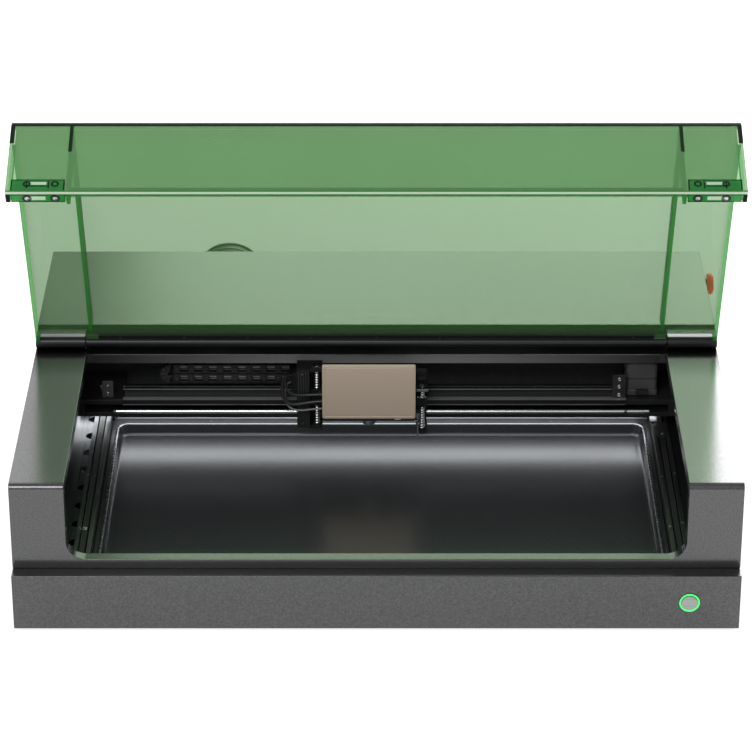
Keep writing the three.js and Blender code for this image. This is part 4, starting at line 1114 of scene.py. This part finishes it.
def module():
    """The champagne cover with its chamfered front, the trim round it, the probe pin and the lens."""
    lo, hi = lo_hi("module_cover")
    x0, x1, y0, y1, z0, z1 = lo.x, hi.x, lo.y, hi.y, lo.z, hi.z

    def plate(inset, r=2.0):
        return arc_rect(x0 + inset, x1 - inset, z0 + inset, z1 - inset, r, 5)

    p = Piece("module_cover_plate")
    p.loft("y", [(plate(0.35), y1), (plate(0), y1 - 0.4), (plate(0), y0 + 0.9), (plate(0.25), y0 + 0.3),
                 (plate(0.9), y0), (plate(2.6, 1.4), y0), (plate(2.9, 1.2), y0 + 0.28),
                 (plate(3.4, 1.2), y0 + 0.28), (plate(3.7, 1.0), y0)], "champagne")
    p.done("laser_module", "champagne", ("module_cover",), smooth=40)
    p = Piece("module_trim")
    p.box(x0 + 1.2, x1 - 1.2, y0 + 1.2, y0 + 3.2, z0 - 3.6, z0 - 0.2, "inner", 0.4)
    p.box(20.5, 27.5, y0 + 0.7, y0 + 1.6, z0 - 1.6, z0 - 0.25, "champagne", 0.3)
    p.lathe("y", (3.9, z0 - 2.8), [(0, y0 + 0.9), (0.9, y0 + 0.9), (1.1, y0 + 1.2), (1.1, y0 + 1.5),
                                   (0, y0 + 1.5)], "steel", 18)
    p.screws("y", [(-63.5, 111), (-63.5, 99)], 53.9, 1.6, 0.8, "bolt", -1)
    p.box(-61.4, -60.6, 33.6, 50, 100.5, 110.5, "rubber", 0.2)
    p.done("laser_module", "black_metal", smooth=40)
    p = Piece("module_probe_pin")
    p.lathe("z", (46.7, 45), [(0, 58.4), (0.5, 58.5), (0.95, 60), (0.95, 84), (1.6, 84.4), (1.6, 92),
                              (0, 92)], "screw", 18)
    p.box(43.6, 49.6, 42.4, 58, 91.2, 94.6, "column", 0.4)
    p.done("laser_module", "steel", smooth=40)
    p = Piece("module_lens_window")
    beam = (-8.5, 52)
    p.lathe("z", beam, [(0, 77.6), (4.2, 77.6), (4.2, 78.4), (0, 78.4)], "brass", 28)
    for k in range(4):
        z = 83.2 + 1.9 * k
        p.lathe("z", beam, [(13.0, z), (13.5, z + 0.3), (13.5, z + 0.9), (13.0, z + 1.2)],
                "silver", 36, True)
    p.done("laser_module", "silver_metal", smooth=40)


carriage_details()
module()


# ---------- cables that cross the lift
LEAD = [
    (-97.5, 93, 113), (-101, 92.8, 112.6), (-104.5, 90, 110.8), (-106.5, 84, 108.2),
    (-107, 76, 105), (-106, 66, 101.8), (-103, 56, 100), (-97, 48.5, 99.8), (-90, 45.4, 101),
    (-82, 44.4, 102.8), (-74, 44, 104.3), (-67, 44, 105.2), (-61.1, 44, 105.5),
]


def smooth_path(points, per=4):
    """A Catmull-Rom line through the points."""
    pts = [Vector(q) for q in points]
    pts = [2 * pts[0] - pts[1]] + pts + [2 * pts[-1] - pts[-2]]
    out = []
    for i in range(1, len(pts) - 2):
        a, b, c, d = pts[i - 1:i + 3]
        for k in range(per):
            t = k / per
            out.append(0.5 * ((2 * b) + (c - a) * t + (2 * a - 5 * b + 4 * c - d) * t * t
                              + (3 * b - a - 3 * c + d) * t ** 3))
    out.append(pts[-2])
    return out


UPPER_LEAD = [
    (-98.5, 88, 116), (-101.5, 86, 116.2), (-103.5, 80, 115.0), (-103.0, 70, 112.6),
    (-100.0, 60, 110.6), (-94.0, 52, 110.2), (-86.0, 47.5, 111.4), (-77.0, 45.8, 112.6),
    (-69.0, 45.4, 113.2), (-61.1, 45.4, 113.4),
]
THIN_LEAD = [
    (-98.5, 91, 106), (-102.0, 88, 104.6), (-104.0, 80, 101.0), (-103.5, 68, 96.6),
    (-100.0, 56, 93.8), (-93.0, 47.5, 93.2), (-84.0, 43.6, 94.4), (-75.0, 42.4, 96.0),
    (-67.0, 42.2, 97.0), (-61.1, 42.2, 97.3),
]


def lead(name, points, r, key, replaces=()):
    """A loose wire from the chain's end to the module, as long as its own drawn route."""
    line = smooth_path(points)
    obj = Piece(name).tube(line, r, key, 14).done(None, "rubber", replaces, smooth=60)
    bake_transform(obj)


lead("module_lead_cable", LEAD, 2.0, "cable", ("module_lead",))
lead("module_lead_upper", UPPER_LEAD, 1.7, "cable")
lead("module_lead_thin", THIN_LEAD, 1.2, "grey_cable")


# ---------- rear, underside and sides
def rear_details():
    """Screws round the rear sheets, and a thin frame round the power inlet."""
    y = lo_hi("rear_hood")[1].y
    p = Piece("rear_screws")
    p.screws("y", [(x, 174) for x in (-365, -250, -60, 60, 190, 240, 365)], y, 2.6, 0.9)
    p.screws("y", [(x, z) for x in (-365, 365) for z in (82, 128)], y, 2.6, 0.9)
    p.done("base", "steel", smooth=40)
    p = Piece("inlet_frame")
    for x0, x1, z0, z1 in ((258, 326, 82.4, 83.6), (258, 326, 116.4, 117.6),
                           (256.8, 258, 82.4, 117.6), (326, 327.2, 82.4, 117.6)):
        p.box(x0, x1, y - 0.2, y + 0.6, z0, z1, "anodised", 0.25)
    p.screws("y", [(260, 121), (324, 121)], y, 2.0, 0.8)
    p.done("base", "black_parts", smooth=40)


def underside_details():
    """Screws in the floor of the base, near the corners and between them."""
    p = Piece("underside_screws")
    for sx in (-1, 1):
        for sy in (-1, 1):
            p.screws("z", [(sx * 366, sy * 262)], 3.2, 2.6, 0.8, "bolt", -1)
            p.screws("z", [(sx * 200, sy * 262)], 3.2, 2.2, 0.7, "bolt", -1)
    p.done("base", "steel", smooth=40)


def side_details():
    """A row of small screws low on each side wall."""
    p = Piece("side_screws")
    for s in (-1, 1):
        p.screws("x", [(y, 58) for y in (-250, -90, 90, 250)], s * 382.5, 2.3, 0.6, "bolt", s)
    p.done("base", "steel", smooth=40)


def exhaust_rotor():
    """The CAD rotor, with a domed cap on its hub."""
    y = lo_hi("exhaust_fan_rotor")[1].y
    p = Piece("exhaust_rotor_blades").take("exhaust_fan_rotor", "black")
    cap = [(0, y - 0.3), (9.2, y - 0.3), (9.0, y + 0.3), (7.0, y + 0.9), (0, y + 1.1)]
    p.lathe("y", middle("exhaust_fan_rotor", "xz"), cap, "anodised", 36)
    p.done("exhaust_rotor", "black_parts", ("exhaust_fan_rotor",), bevel=0.25)


rear_details()
underside_details()
side_details()
exhaust_rotor()
